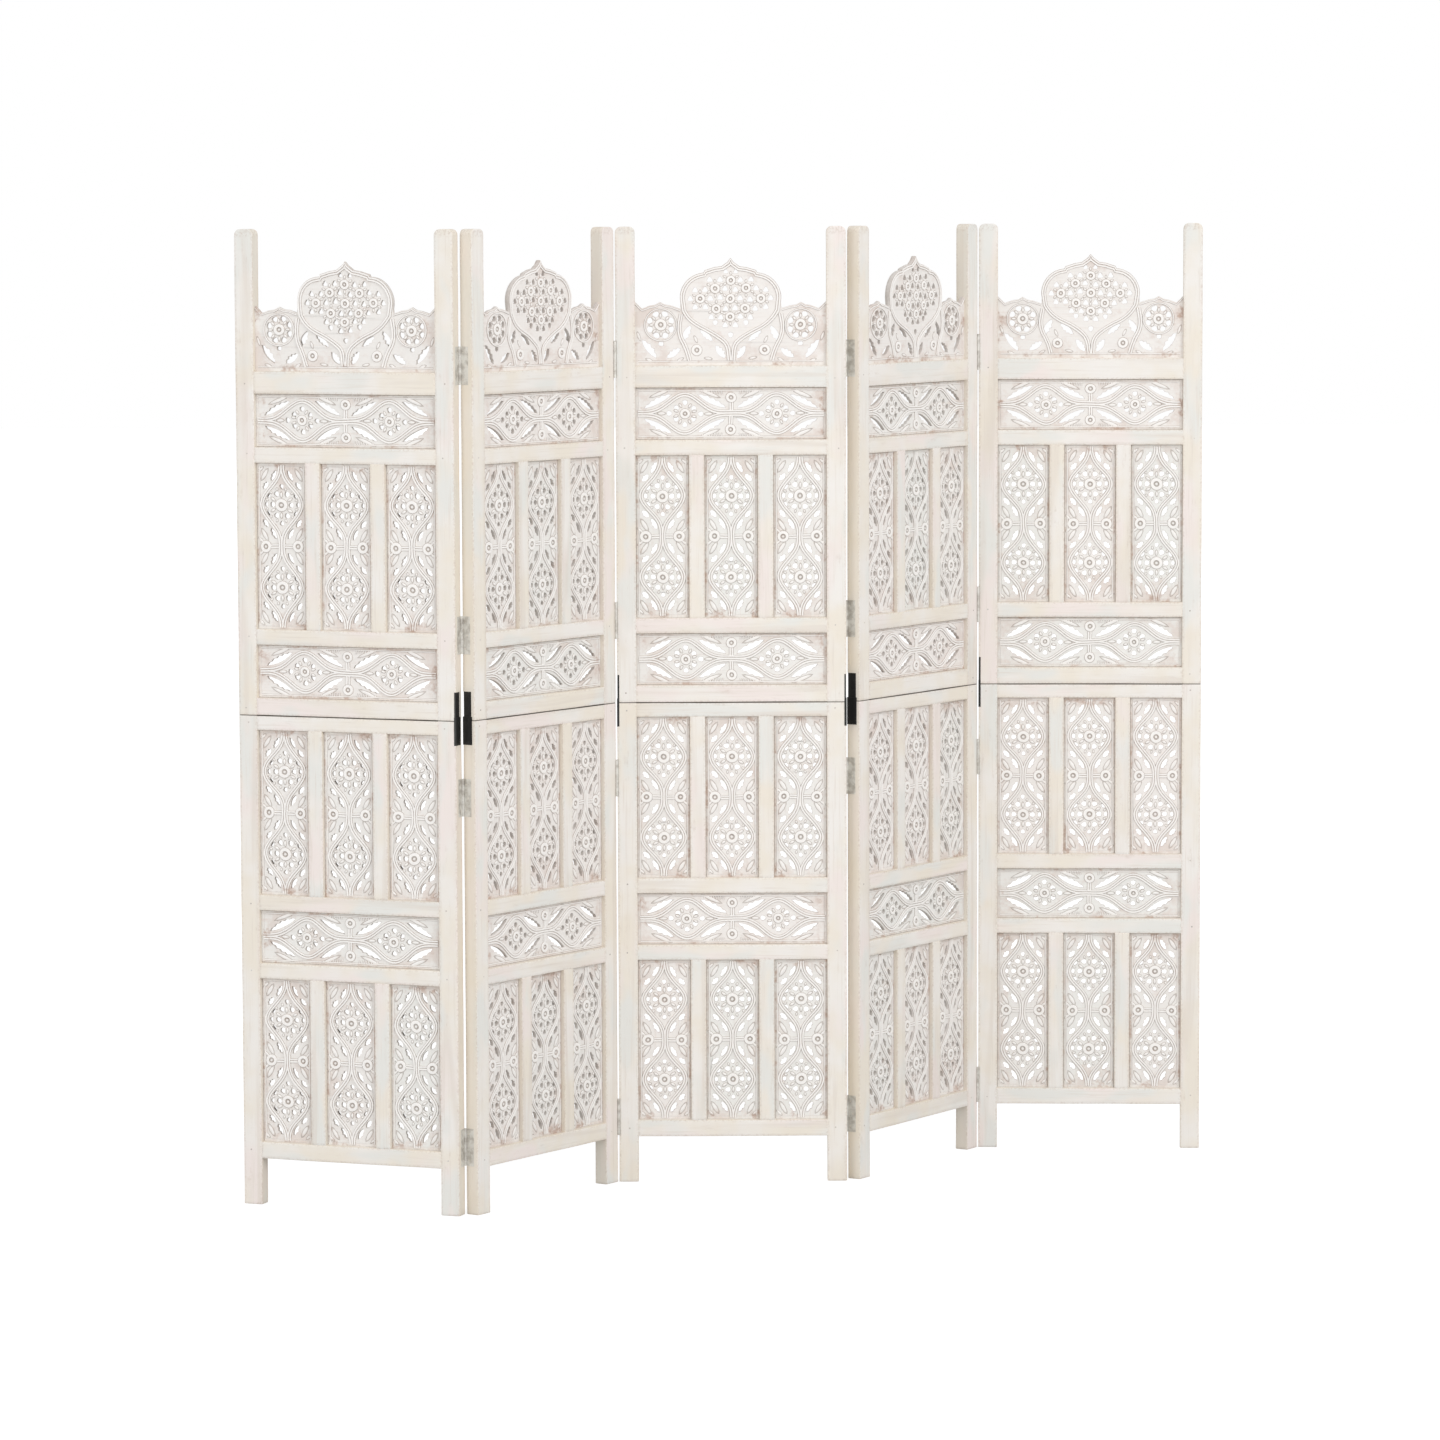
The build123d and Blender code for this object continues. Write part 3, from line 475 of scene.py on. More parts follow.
def board_stations(length, foot, head, notches):
    """The stations up a board: its ends, even bays between them, and a pair at each notch's ends."""
    bottom, top = foot[-1][0], length - head[-1][0]
    bays = max(1, round((top - bottom) / bpy.context.scene.jali_wood.bay))
    stations = list(foot)
    stations += [(bottom + (top - bottom) * bay / bays, 0.0, 0.0, 0.0) for bay in range(1, bays)]
    stations += [(length - inward, across, deep, worn) for inward, across, deep, worn in reversed(head)]
    for level in {level for notch in notches for level in notch[:2] if 0 < level < length}:
        stations += [(level - STEP, 0.0, 0.0, 0.0), (level + STEP, 0.0, 0.0, 0.0)]
    return sorted(stations)


def painted_seam_shade(section, height, length, seam):
    """1 for each point of a section where painted shade marks the crack between the halves, and 0 for the
    others.
    """
    near = bpy.context.scene.jali_wood.arris / 2
    from_end = {"foot": height, "head": length - height}.get(seam, length)
    if from_end < near:
        return np.ones(len(section))
    side = seam if seam in (1, -1) else 0
    return (section[:, 0] * side > section[:, 0].max() - near).astype(float)


def add_board(build, place, width, depth, length, seed, foot=None, head=None, notches=(), seam=None):
    """A board with worn arrises and a hand-planed wave. Upright, it is centred over its foot.

    A notch is (foot, head, side, face, width, depth): the edge and the face that it is cut from.
    The seam is where painted shade marks the crack between the halves: "foot", "head", or the side 1 or -1
    along the board.
    """
    wood = bpy.context.scene.jali_wood
    chance = random.Random(seed)
    section, arris, side = board_section(width / 2 - wood.shy, depth / 2 - wood.shy, wood.arris, wood.skin)
    end = plain_end(wood.arris, wood.skin)
    stations = board_stations(length, foot or end, head or end, notches)
    phases = np.reshape([chance.uniform(0, math.tau) for _ in range(4)], (2, 2))
    offset = [chance.uniform(0, GRAIN_REACH) for _ in range(3)]
    points, wear, dirt = [], [], []
    for height, inset_x, inset_y, worn in stations:
        ring = section
        for notch in notches:
            if notch[0] < height < notch[1]:
                ring = notched(section, notch)
        wave = wood.wave * np.sin(height * WAVE_PITCHES + phases).sum(axis=1) / 2
        ring = np.sign(ring) * np.maximum(np.abs(ring) - (inset_x, inset_y), 0) + wave
        points.append(np.column_stack([ring, np.full(len(ring), height)]))
        wear.append(np.maximum(arris, worn))
        # Points at the seam get painted shade for the crack between the halves.
        dirt.append(painted_seam_shade(section, height, length, seam))
    points, around = np.concatenate(points), len(section)
    ends = [tuple(range(around - 1, -1, -1)), tuple(range(len(points) - around, len(points)))]
    build.add(moved(points, place), ring_faces(len(stations), around) + ends, grain=points + offset,
              wear=np.concatenate(wear), side=np.tile(side, len(stations)), dirt=np.concatenate(dirt),
              fleck=np.zeros(len(points)))


def add_peg(build, place, radius, seed):
    """The filled head of a peg, just proud of a face. It lies flat and faces +Z."""
    chance = random.Random(seed)
    points, faces = turning(((radius, 0.0), (PEG_TOP * radius, PEG_PROUD)), PEG_SIDES)
    grain = points + [chance.uniform(0, GRAIN_REACH) for _ in range(3)]
    plain = np.zeros(len(points))
    build.add(moved(points, place), faces, grain=grain, wear=plain, side=plain, dirt=plain,
              fleck=np.full(len(points), chance.uniform(PEG_PALEST, 1.0)))


FACING_FRONT = Matrix.Rotation(math.radians(90), 4, "X")
FACING_BACK = Matrix.Rotation(math.radians(-90), 4, "X")
LYING = Matrix.Rotation(math.radians(90), 4, "Y")


def post_notches(number, half, edge):
    """The recesses of the straps and barrels in one post, measured up the post."""
    fold = f"fold_{number - 1 + edge}"
    if fold not in PIN_FACES:
        return []
    side = 1 if edge else -1
    face = -1 if number % 2 else 1
    if half == "lower":
        wide, reach = LOWER_RECESS
        notches = [(SEAM_HEIGHT - reach, SEAM_HEIGHT + STEP, side, face, wide, STRAP_LET_IN)]
    else:
        (rim, rim_reach), (wide, reach) = UPPER_RECESSES
        notches = [(-STEP, rim_reach, side, face, rim, STRAP_LET_IN),
                   (rim_reach, reach, side, face, wide, STRAP_LET_IN)]
    for middle in HINGE_MIDDLES[half]:
        level = middle - HALVES[half][1]
        foot, head = level - HINGE_HALF_HEIGHT, level + HINGE_HALF_HEIGHT
        notches.append((foot, head, side, PIN_FACES[fold], *BARREL_CORNER))
    return notches


def add_pegs(build, middle, stack, start, seed):
    """Pegs on both faces of a post, where they hold the rails' tenons."""
    wood = bpy.context.scene.jali_wood
    chance = random.Random(seed + " pegs")
    face = PANEL_THICKNESS / 2 - wood.shy - wood.wave
    for kind, bottom, top in stack_spans(stack, start):
        if kind != "rail":
            continue
        x = middle + chance.uniform(-PEG_STRAY_X, PEG_STRAY_X) * MM
        z = (bottom + top) / 2 + chance.uniform(-PEG_STRAY_Z, PEG_STRAY_Z) * MM
        add_peg(build, Matrix.Translation((x, -face, z)) @ FACING_FRONT, wood.peg, seed + f"{z}")
        add_peg(build, Matrix.Translation((x, face, z)) @ FACING_BACK, wood.peg, seed + f"{z} back")


def dress_posts(number, half):
    """Both posts of a half, with their pegs."""
    wood = bpy.context.scene.jali_wood
    stack, start, end = HALVES[half]
    head, seam = None, "head"
    if half == "upper":
        head, seam = domed_end(wood.arris, POST_TOP_RADIUS, wood.skin), "foot"
    build = Build()
    for edge, middle in enumerate((POST_WIDTH / 2, PANEL_WIDTH - POST_WIDTH / 2)):
        seed = f"{half} post {number} {edge}"
        add_board(build, Matrix.Translation((middle, 0, start)), POST_WIDTH, PANEL_THICKNESS, end - start,
                  seed, head=head, notches=post_notches(number, half, edge), seam=seam)
        add_pegs(build, middle, stack, start, seed)
    dress(build, number, f"{half}_posts", WOOD)


def dress_rails(number, half):
    """The rails of a half, and the muntins between its upright slabs."""
    stack, start, _ = HALVES[half]
    tuck = bpy.context.scene.jali_wood.tuck
    build = Build()
    for kind, bottom, top in stack_spans(stack, start):
        seed = f"{half} {kind} {number} {bottom:.3f}"
        if kind == "rail":
            place = Matrix.Translation((POST_WIDTH - tuck, 0, (bottom + top) / 2)) @ LYING
            seam = 1 if bottom == SEAM_HEIGHT else -1 if top == SEAM_HEIGHT else None
            add_board(build, place, top - bottom, PANEL_THICKNESS, OPENING_WIDTH + 2 * tuck, seed, seam=seam)
        elif kind == "jali":
            for column, left in enumerate(column_starts()[1:]):
                place = Matrix.Translation((left - MUNTIN_WIDTH / 2, 0, bottom - tuck))
                add_board(build, place, MUNTIN_WIDTH, PANEL_THICKNESS, top - bottom + 2 * tuck,
                          f"{seed} {column}")
    dress(build, number, f"{half}_rails", WOOD)


# --- Outlines of the piercings --------------------------------------------------------------

# How far an egg's broad end swells, and how deep a trefoil's lobes are cut.
EGG_SWELL = 0.3
LOBE_DEPTH = 0.16
# The sides of a leaf: how far each bellies out, as a share of the width, and how bluntly it ends.
FAIR_SIDE = (0.42, 0.8)
FAIR_STEPS = 6
TOOTHED_SIDE = (0.6, 0.6)
TOOTH_FOOT = 0.62


def turned(points, x, y, degrees):
    """Flat points turned about the origin, then moved."""
    points = np.asarray(points, float)
    angle = math.radians(degrees)
    turn = np.array([[math.cos(angle), math.sin(angle)], [-math.sin(angle), math.cos(angle)]])
    return points @ turn + (x, y)


def round_about(centre, reach, bearings):
    """Places at one reach from a centre, as (x, y, bearing)."""
    return [(*turned([(reach, 0)], *centre, bearing)[0], bearing) for bearing in bearings]


def mirrored(centre, place, lean):
    """A leaning leaf in all four quarters round a centre, as (x, y, degrees, way up)."""
    return [(centre[0] + across * place[0], centre[1] + up * place[1], -across * up * lean, up)
            for across in (1, -1) for up in (1, -1)]


def egg_hole(x, y, degrees, length, width, corners=11):
    """An egg-shaped piercing. Its broad end lies along the turn."""
    rows = []
    for step in range(corners):
        angle = math.tau * step / corners
        swell = 1 + EGG_SWELL * math.cos(angle)
        rows.append((math.cos(angle) * length / 2, math.sin(angle) * width / 2 * swell))
    return turned(rows, x, y, degrees)


def eyelet(x, y):
    """The small hole in the middle of a rosette."""
    return egg_hole(x, y, 0, EYELET_WIDTH, EYELET_WIDTH, 8)


def dots(centre, rings):
    """Egg-shaped piercings round a centre, from rows of (reach, bearings, length, width)."""
    return [egg_hole(*place, length, width) for reach, bearings, length, width in rings
            for place in round_about(centre, reach, bearings)]


def bean_hole(x, y, reach, degrees, spread, width, corners=12):
    """A crescent piercing that lies round a flower's middle, at a reach from it."""
    rows = []
    for step in range(corners):
        angle = math.tau * step / corners
        radius = reach + math.sin(angle) * width / 2
        bearing = math.radians(degrees - spread * math.cos(angle))
        rows.append((x + radius * math.cos(bearing), y + radius * math.sin(bearing)))
    return np.array(rows)[::-1]


def trefoil_hole(x, y, degrees, width, corners=15):
    """A piercing with three soft lobes."""
    rows = []
    for step in range(corners):
        angle = math.tau * step / corners
        reach = width / 2 * (1 - LOBE_DEPTH + LOBE_DEPTH * math.cos(3 * angle))
        rows.append((reach * math.cos(angle), reach * math.sin(angle)))
    return turned(rows, x, y, degrees)


def leaf_hole(x, y, degrees, length, width, teeth, toothed_side=1):
    """A long leaf-shaped piercing, fair along one side and toothed along the other."""
    rows = []
    belly, bluntness = FAIR_SIDE
    for step in range(FAIR_STEPS + 1):
        share = step / FAIR_STEPS
        rows.append((length * (share - 0.5), -belly * width * math.sin(math.pi * share) ** bluntness))
    belly, bluntness = TOOTHED_SIDE
    for step in range(1, 2 * teeth):
        share = 1 - step / (2 * teeth)
        depth = TOOTH_FOOT if step % 2 == 0 else 1.0
        rows.append((length * (share - 0.5), belly * width * depth * math.sin(math.pi * share) ** bluntness))
    rows = np.array(rows) * (1, toothed_side)
    return turned(rows if toothed_side > 0 else rows[::-1], x, y, degrees)


def leaf_holes(centre, leaves, teeth):
    """Leaf-shaped piercings in all four quarters, from rows of (place, lean, length, width)."""
    return [leaf_hole(x, y, degrees, length, width, teeth, up) for place, lean, length, width in leaves
            for x, y, degrees, up in mirrored(centre, place, lean)]


def jali_holes():
    """The piercings of an upright slab."""
    holes = []
    reach, bearings, spread, width = FLOWER_BEANS
    for way in (1, -1):
        flower = (0, way * FLOWER_FROM_MIDDLE)
        holes += dots(flower, FLOWER_DOTS)
        holes += [bean_hole(*flower, reach, bearing, spread, width) for bearing in bearings]
        holes += dots(flower, FLOWER_TIP_DOTS)
        holes += leaf_holes(flower, JALI_LEAF_HOLES, JALI_TEETH)
        holes.append(eyelet(way * SIDE_ROSETTE_REACH, 0))
    return holes


def frieze_holes():
    """The piercings of a frieze."""
    holes = []
    for way in (1, -1):
        eye = (way * EYE_FROM_MIDDLE, 0)
        holes += dots(eye, EYE_DOTS) + leaf_holes(eye, FRIEZE_LEAF_HOLES, FRIEZE_TEETH)
        holes.append(eyelet(0, way * FRIEZE_ROSETTE_HEIGHT))
    return holes


def both_sides(places):
    """Places in mm, as metres, with their mirror images across the crest's middle line."""
    return sorted({(way * x * MM, y * MM) for x, y in places for way in (1, -1)})


def dome_dots():
    """The dots round the dome's rosettes. Neighbouring rosettes share the dots between them."""
    found = []
    for rosette in both_sides(DOME_ROSETTES):
        for x, y, _ in round_about(rosette, DOME_DOT_REACH, range(0, 360, 60)):
            if all(math.dist((x, y), other) > DOT_SPACING for other in found):
                found.append((x, y))
    return found


def crest_holes():
    """The piercings of the crest."""
    holes = []
    for x, y in dome_dots():
        holes.append(trefoil_hole(x, y, 90, PEAK_DOT_WIDTH if y > PEAK_DOTS_FROM else DOME_DOT_WIDTH))
    holes += [egg_hole(x, y, 90, *LOW_DOT_SIZE) for x, y in both_sides(LOW_DOTS)]
    for way in (1, -1):
        medallion = way * MEDALLION_FROM_MIDDLE
        holes += dots((medallion, MEDALLION_HEIGHT), MEDALLION_DOTS)
        holes.append(egg_hole(medallion, MEDALLION_FOOT_DOT, 270, *LOW_DOT_SIZE))
        holes.append(eyelet(way * FOOT_ROSETTE[0], FOOT_ROSETTE[1]))
        for x, y, turn, length, width, side in CREST_LEAF_HOLES:
            size = (length * MM, width * MM)
            holes.append(leaf_hole(way * x * MM, y * MM, way * turn, *size, CREST_TEETH, side))
    return holes


def arc_through(start, middle, end, steps):
    """Points along the circle through three points, without the first."""
    (ax, ay), (bx, by), (cx, cy) = start, middle, end
    turn = 2 * ((bx - ax) * (cy - ay) - (by - ay) * (cx - ax))
    b_size = (bx - ax) * (bx + ax) + (by - ay) * (by + ay)
    c_size = (cx - ax) * (cx + ax) + (cy - ay) * (cy + ay)
    x = ((cy - ay) * b_size - (by - ay) * c_size) / turn
    y = ((bx - ax) * c_size - (cx - ax) * b_size) / turn
    first = math.atan2(ay - y, ax - x)
    last = math.atan2(cy - y, cx - x)
    radius = math.dist(start, (x, y))
    bearings = [first + (last - first) * step / steps for step in range(1, steps + 1)]
    return [(x + radius * math.cos(bearing), y + radius * math.sin(bearing)) for bearing in bearings]


def crest_edge():
    """The crest's upper edge from its peak to its right-hand end."""
    brow = [(-x, y) for x, y in reversed(MEDALLION_BROW[1:])] + list(MEDALLION_BROW)
    edge = [*CREST_TOP, *arc_through(CREST_TOP[-1], DOME_SHOULDER, DOME_WIDEST, DOME_STEPS), SADDLE]
    edge += [(MEDALLION_FROM_MIDDLE + x, y) for x, y in brow]
    edge += [(OPENING_WIDTH / 2 - CREST_END_RISE, SADDLE[1]), (OPENING_WIDTH / 2, CREST_END_HEIGHT)]
    return edge


def crest_outline():
    """The crest's whole outline, tucked into its grooves at the foot and ends."""
    tuck = OPENING_WIDTH / 2 + SLAB_TUCK
    right = [*crest_edge(), (tuck, CREST_END_HEIGHT), (tuck, -SLAB_TUCK)]
    left = [(-x, y) for x, y in reversed(right[1:])]
    return np.array(left + right)


def slab_outline(half_width, half_height):
    """A plain slab's outline, tucked into its grooves."""
    x, y = half_width + SLAB_TUCK, half_height + SLAB_TUCK
    return np.array([(-x, -y), (x, -y), (x, y), (-x, y)])


def add_plate(build, outline, holes):
    """The pierced slab itself, its edges eased with a knife. It lies flat and is centred on Z = 0."""
    carving = bpy.context.scene.jali_carving
    curve = bpy.data.curves.new("plate", "CURVE")
    curve.dimensions = "2D"
    curve.fill_mode = "BOTH"
    curve.extrude = SLAB_THICKNESS / 2 - carving.relief - carving.easing
    curve.bevel_depth = carving.easing
    curve.bevel_resolution = 1
    curve.offset = -carving.easing
    for loop in [outline, *holes]:
        spline = curve.splines.new("POLY")
        spline.points.add(len(loop) - 1)
        corners = np.column_stack([loop, np.zeros(len(loop)), np.ones(len(loop))])
        spline.points.foreach_set("co", corners.ravel())
        spline.use_cyclic_u = True
    carrier = bpy.data.objects.new("plate", curve)
    bpy.context.scene.collection.objects.link(carrier)
    bpy.context.view_layer.update()
    solid = carrier.evaluated_get(bpy.context.evaluated_depsgraph_get())
    mesh = bpy.data.meshes.new_from_object(solid)
    points = np.zeros(len(mesh.vertices) * 3)
    mesh.vertices.foreach_get("co", points)
    points = points.reshape(-1, 3)
    faces = [tuple(polygon.vertices) for polygon in mesh.polygons]
    bpy.data.objects.remove(carrier)
    bpy.data.curves.remove(curve)
    bpy.data.meshes.remove(mesh)
    top = SLAB_THICKNESS / 2 - carving.relief
    depth = (top - np.abs(points[:, 2])) / carving.easing
    # The piercings' walls take a share of the sunk tone as painted shade.
    build.add(points, faces, relief=-carving.wall_shade * np.clip(depth, 0, 1))


# --- Carved relief --------------------------------------------------------------------------
# Relief stands on Z = 0 and is set on both faces of its slab at the end. Its lowest points clear
# the ground by a skin.

SKIN = 0.03 * MM
# How wide the flat top of a ridge and of a stem's line is, as shares of the whole line.
RIDGE_FLAT = 0.7
STEM_FLAT = 0.36
# The height of the groove along a stem, and of the second of twin stems where it meets the first.
GROOVE_SHARE = 0.25
UNDER_SHARE = 0.92
# A rosette inside its foot: shares of its radius and of the relief, and its painted tone, 1 for a painted
# highlight and -1 for painted shade.
ROSETTE_RINGS = (
    (0.92, 0.9, 1.0),
    (0.5, 1.0, 1.0),
    (0.42, 0.2, -1.0),
    (0.25, 0.2, -1.0),
    (0.17, 0.75, 0.4),
)
ROSETTE_SIDES = 14
FLOWER_SIDES = 16
# A petal's shoulder: its share of the petal's outline and of its height. Its ends are drawn blunt.
SHOULDER = (0.55, 0.85)
BLUNTNESS = 0.25
# The border's line: its width as a share of a stem's line, and its height as one of the relief.
BORDER_WIDTH = 0.8
BORDER_SHARE = 0.4
# How much of a path's straight stretch is cut off at each corner.
CORNER_CUT = 0.25


def add_run(build, path, rows, closed=False):
    """A form that runs along a flat path, from rows of (distance aside, height, relief tone). A tone above 0
    is painted highlight; one below 0 takes the sunk tone, painted shade that is partly patina in the
    grooves.
    """
    path = np.asarray(path, float)
    if closed:
        ahead, behind = np.roll(path, -1, axis=0), np.roll(path, 1, axis=0)
    else:
        ahead = np.vstack([path[1:], path[-1:]])
        behind = np.vstack([path[:1], path[:-1]])
    run = ahead - behind
    run /= np.maximum(np.linalg.norm(run, axis=1), 1e-9)[:, None]
    aside = np.column_stack([-run[:, 1], run[:, 0]])
    points, relief = [], []
    for offset, rise, tone in rows:
        line = path + aside * offset
        points.append(np.column_stack([line, np.full(len(path), rise)]))
        relief.append(np.full(len(path), tone))
    count = len(path)
    faces = []
    for row in range(len(rows) - 1):
        for step in range(count if closed else count - 1):
            following = (step + 1) % count
            lower, upper = row * count, (row + 1) * count
            faces.append((lower + following, lower + step, upper + step, upper + following))
    if not closed:
        inner = range(1, len(rows) - 1)
        faces.append(tuple(row * count for row in inner))
        faces.append(tuple(row * count + count - 1 for row in reversed(inner)))
    build.add(np.concatenate(points), faces, relief=np.concatenate(relief))


def both_flanks(rows, middle=()):
    """The rows of one flank of a form, from the outside in, then its middle and its other flank."""
    return [*rows, *middle, *((-offset, rise, tone) for offset, rise, tone in reversed(rows))]


def add_ridge(build, path, width, height, closed=False):
    """A raised line along a flat path, with a painted highlight on its top and a strip of painted shade on
    either side.
    """
    skirt = bpy.context.scene.jali_carving.skirt
    half = width / 2
    rows = both_flanks([(half + skirt, SKIN, 0.0), (half, SKIN, -1.0), (RIDGE_FLAT * half, height, 1.0)])
    add_run(build, path, rows, closed)


def beside(path, distance):
    """A path moved sideways."""
    path = np.asarray(path, float)
    run = np.gradient(path, axis=0)
    run /= np.linalg.norm(run, axis=1)[:, None]
    return path + np.column_stack([-run[:, 1], run[:, 0]]) * distance


def softened(path, rounds=2):
    """A path with its corners cut until it curves."""
    path = np.asarray(path, float)
    for _ in range(rounds):
        near = (1 - CORNER_CUT) * path[:-1] + CORNER_CUT * path[1:]
        far = CORNER_CUT * path[:-1] + (1 - CORNER_CUT) * path[1:]
        path = np.vstack([path[:1], np.column_stack([near, far]).reshape(-1, 2), path[-1:]])
    return path


def add_stem(build, path, share=1.0):
    """A stem: two raised lines with a groove between them, with painted highlight on the lines and painted
    shade at their feet and in the groove.
    """
    carving = bpy.context.scene.jali_carving
    line, spread, height = carving.line, carving.spread, share * carving.relief
    flank = [(spread + line / 2 + carving.skirt, SKIN, 0.0), (spread + line / 2, SKIN, -1.0),
             (spread + STEM_FLAT * line, height, 1.0), (spread - STEM_FLAT * line, height, 1.0)]
    add_run(build, path, both_flanks(flank, [(0.0, GROOVE_SHARE * height, -1.0)]))


def add_rosette(build, x, y, radius, sides=ROSETTE_SIDES):
    """A raised ring round a sunk and dotted middle, with painted highlight on the ring and painted shade at
    its foot and round the dot.
    """
    carving = bpy.context.scene.jali_carving
    rows = [(radius + carving.skirt, SKIN, 0.0), (radius, 2 * SKIN, -1.0)]
    rows += [(inward * radius, up * carving.relief, tone) for inward, up, tone in ROSETTE_RINGS]
    points, faces = turning([row[:2] for row in rows], sides)
    build.add(points + (x, y, 0), faces, relief=np.repeat([row[2] for row in rows], sides))


def add_lobe(build, x, y, degrees, length, width, share=1.0, sides=8):
    """A raised petal or leaf with a blunt point at both ends, painted shade at its foot and a painted
    highlight on its top.
    """
    carving = bpy.context.scene.jali_carving
    height = carving.relief * share
    points, relief = [], []
    # From the outside in: a skirt that fades into painted shade, the foot of the petal, and its shoulder
    # with its share of painted highlight.
    rings = (
        (1.0, carving.skirt, 1.5 * SKIN, 0.0),
        (1.0, 0.0, 2 * SKIN, -1.0),
        (SHOULDER[0], 0.0, SHOULDER[1] * height, share),
    )
    for scale, grow, rise, tone in rings:
        for step in range(sides):
            angle = math.tau * step / sides
            across = math.sin(angle) * abs(math.sin(angle)) ** BLUNTNESS
            points.append((scale * math.cos(angle) * (length / 2 + grow),
                           scale * across * (width / 2 + grow), rise))
            relief.append(tone)
    shoulder, top = (len(rings) - 1) * sides, len(rings) * sides
    faces = ring_faces(len(rings), sides)
    faces += [(shoulder + step, shoulder + (step + 1) % sides, top) for step in range(sides)]
    points = np.array([*points, (0, 0, height)])
    points[:, :2] = turned(points[:, :2], x, y, degrees)
    build.add(points, faces, relief=[*relief, share])


def add_petals(build, centre, rings):
    """Petals round a centre, from rows of (reach, bearings, length, width, share of the relief)."""
    for reach, bearings, length, width, share in rings:
        for place in round_about(centre, reach, bearings):
            add_lobe(build, *place, length, width, share)


def add_leaves(build, centre, leaves):
    """Leaves in all four quarters, from rows of (place, lean, length, width, share of the relief)."""
    for place, lean, length, width, share in leaves:
        for x, y, degrees, _ in mirrored(centre, place, lean):
            add_lobe(build, x, y, degrees, length, width, share)


def ogee(shares, power):
    """A swell that starts and ends level, at shares of its length from -1 to 1."""
    return (0.5 + 0.5 * np.cos(np.pi * np.clip(shares, -1, 1))) ** power


def add_twin_stems(build, stems, upright):
    """Two stems that meet at a slab's middle and swell apart round its flowers or eyes."""
    reach, steps, from_middle, bulge, power = stems
    along = np.linspace(-reach, reach, steps)
    aside = STEM_REST + bulge * ogee((np.abs(along) - from_middle) / from_middle, power)
    for way, share in ((1, 1.0), (-1, UNDER_SHARE)):
        path = (way * aside, along) if upright else (along, way * aside)
        add_stem(build, np.column_stack(path), share)


def jali_relief():
    """The carving on one face of an upright slab."""
    build = Build()
    add_twin_stems(build, JALI_STEMS, upright=True)
    for way in (1, -1):
        flower = (0, way * FLOWER_FROM_MIDDLE)
        add_rosette(build, *flower, FLOWER_RADIUS, FLOWER_SIDES)
        add_petals(build, flower, FLOWER_PETALS)
        add_leaves(build, flower, JALI_LEAVES)
        add_rosette(build, way * SIDE_ROSETTE_REACH, 0, SIDE_ROSETTE_RADIUS)
        add_stem(build, [(way * x, 0) for x in SIDE_STEM], SIDE_STEM_SHARE)
    add_border(build, JALI_WIDTH, JALI_HEIGHT)
    return build


def add_border(build, width, height):
    """The shade where a slab meets its frame, and a thin line a little way inside."""
    carving = bpy.context.scene.jali_carving
    shade = ((carving.rim / 2, 2 * SKIN, -1.0), (-carving.rim / 2, 2 * SKIN, -1.0))
    for margin in (carving.rim / 2, carving.margin):
        x, y = width / 2 - margin, height / 2 - margin
        corners = [(-x, -y), (x, -y), (x, y), (-x, y)]
        if margin == carving.margin:
            line, rise = BORDER_WIDTH * carving.line, BORDER_SHARE * carving.relief
            add_ridge(build, corners, line, rise, closed=True)
        else:
            add_run(build, corners, shade, closed=True)


def add_hatching(build, way):
    """A fan of short strokes on both sides of a frieze's rosette."""
    height = HATCH_SHARE * bpy.context.scene.jali_carving.relief
    for stroke in range(HATCH_STROKES):
        x, foot = HATCH_START + HATCH_PITCH * stroke, HATCH_FOOT + HATCH_CLIMB * stroke
        for side in (1, -1):
            hatch = [(side * x, way * foot), (side * (x + HATCH_LEAN), way * HATCH_TOP)]
            add_ridge(build, hatch, HATCH_WIDTH, height)


def frieze_relief():
    """The carving on one face of a frieze."""
    build = Build()
    add_twin_stems(build, FRIEZE_STEMS, upright=False)
    for way in (1, -1):
        eye = (way * EYE_FROM_MIDDLE, 0)
        add_rosette(build, *eye, EYE_RADIUS, FLOWER_SIDES)
        add_petals(build, eye, EYE_PETALS)
        add_leaves(build, eye, FRIEZE_LEAVES)
        add_petals(build, eye, EYE_END_PETALS)
        add_rosette(build, 0, way * FRIEZE_ROSETTE_HEIGHT, FRIEZE_ROSETTE_RADIUS)
        add_stem(build, [(0, way * y) for y in FRIEZE_STEM], SIDE_STEM_SHARE)
        add_hatching(build, way)
    add_border(build, OPENING_WIDTH, FRIEZE_HEIGHT)
    return build


def add_dome(build, edge):
    """The dome's stem, which runs round inside its edge and falls to the foot, and its flowers."""
    rim = np.vstack([edge[:0:-1] * (-1, 1), edge])
    fall = softened(np.array(FALLING_STEM) * MM)
    add_stem(build, np.vstack([fall[::-1] * (-1, 1), beside(rim, -DOME_LINE_INSIDE), fall]))
    for rosette in both_sides(DOME_ROSETTES):
        add_rosette(build, *rosette, DOME_ROSETTE_RADIUS)
        add_petals(build, rosette, DOME_PETALS)


def add_medallion(build, way, edge):
    """The ring, the brow under the edge and the flower of one medallion."""
    relief = bpy.context.scene.jali_carving.relief
    centre = (way * MEDALLION_FROM_MIDDLE, MEDALLION_HEIGHT)
    ring = [place[:2] for place in round_about(centre, MEDALLION_RING, range(0, 360, RING_STEP))]
    add_ridge(build, ring, CREST_LINE_WIDTH, RING_SHARE * relief, closed=True)
    add_ridge(build, (edge - (0, BROW_LINE_INSIDE)) * (way, 1), CREST_LINE_WIDTH, BROW_SHARE * relief)
    add_rosette(build, *centre, MEDALLION_RADIUS, FLOWER_SIDES)
    add_petals(build, centre, MEDALLION_PETALS)


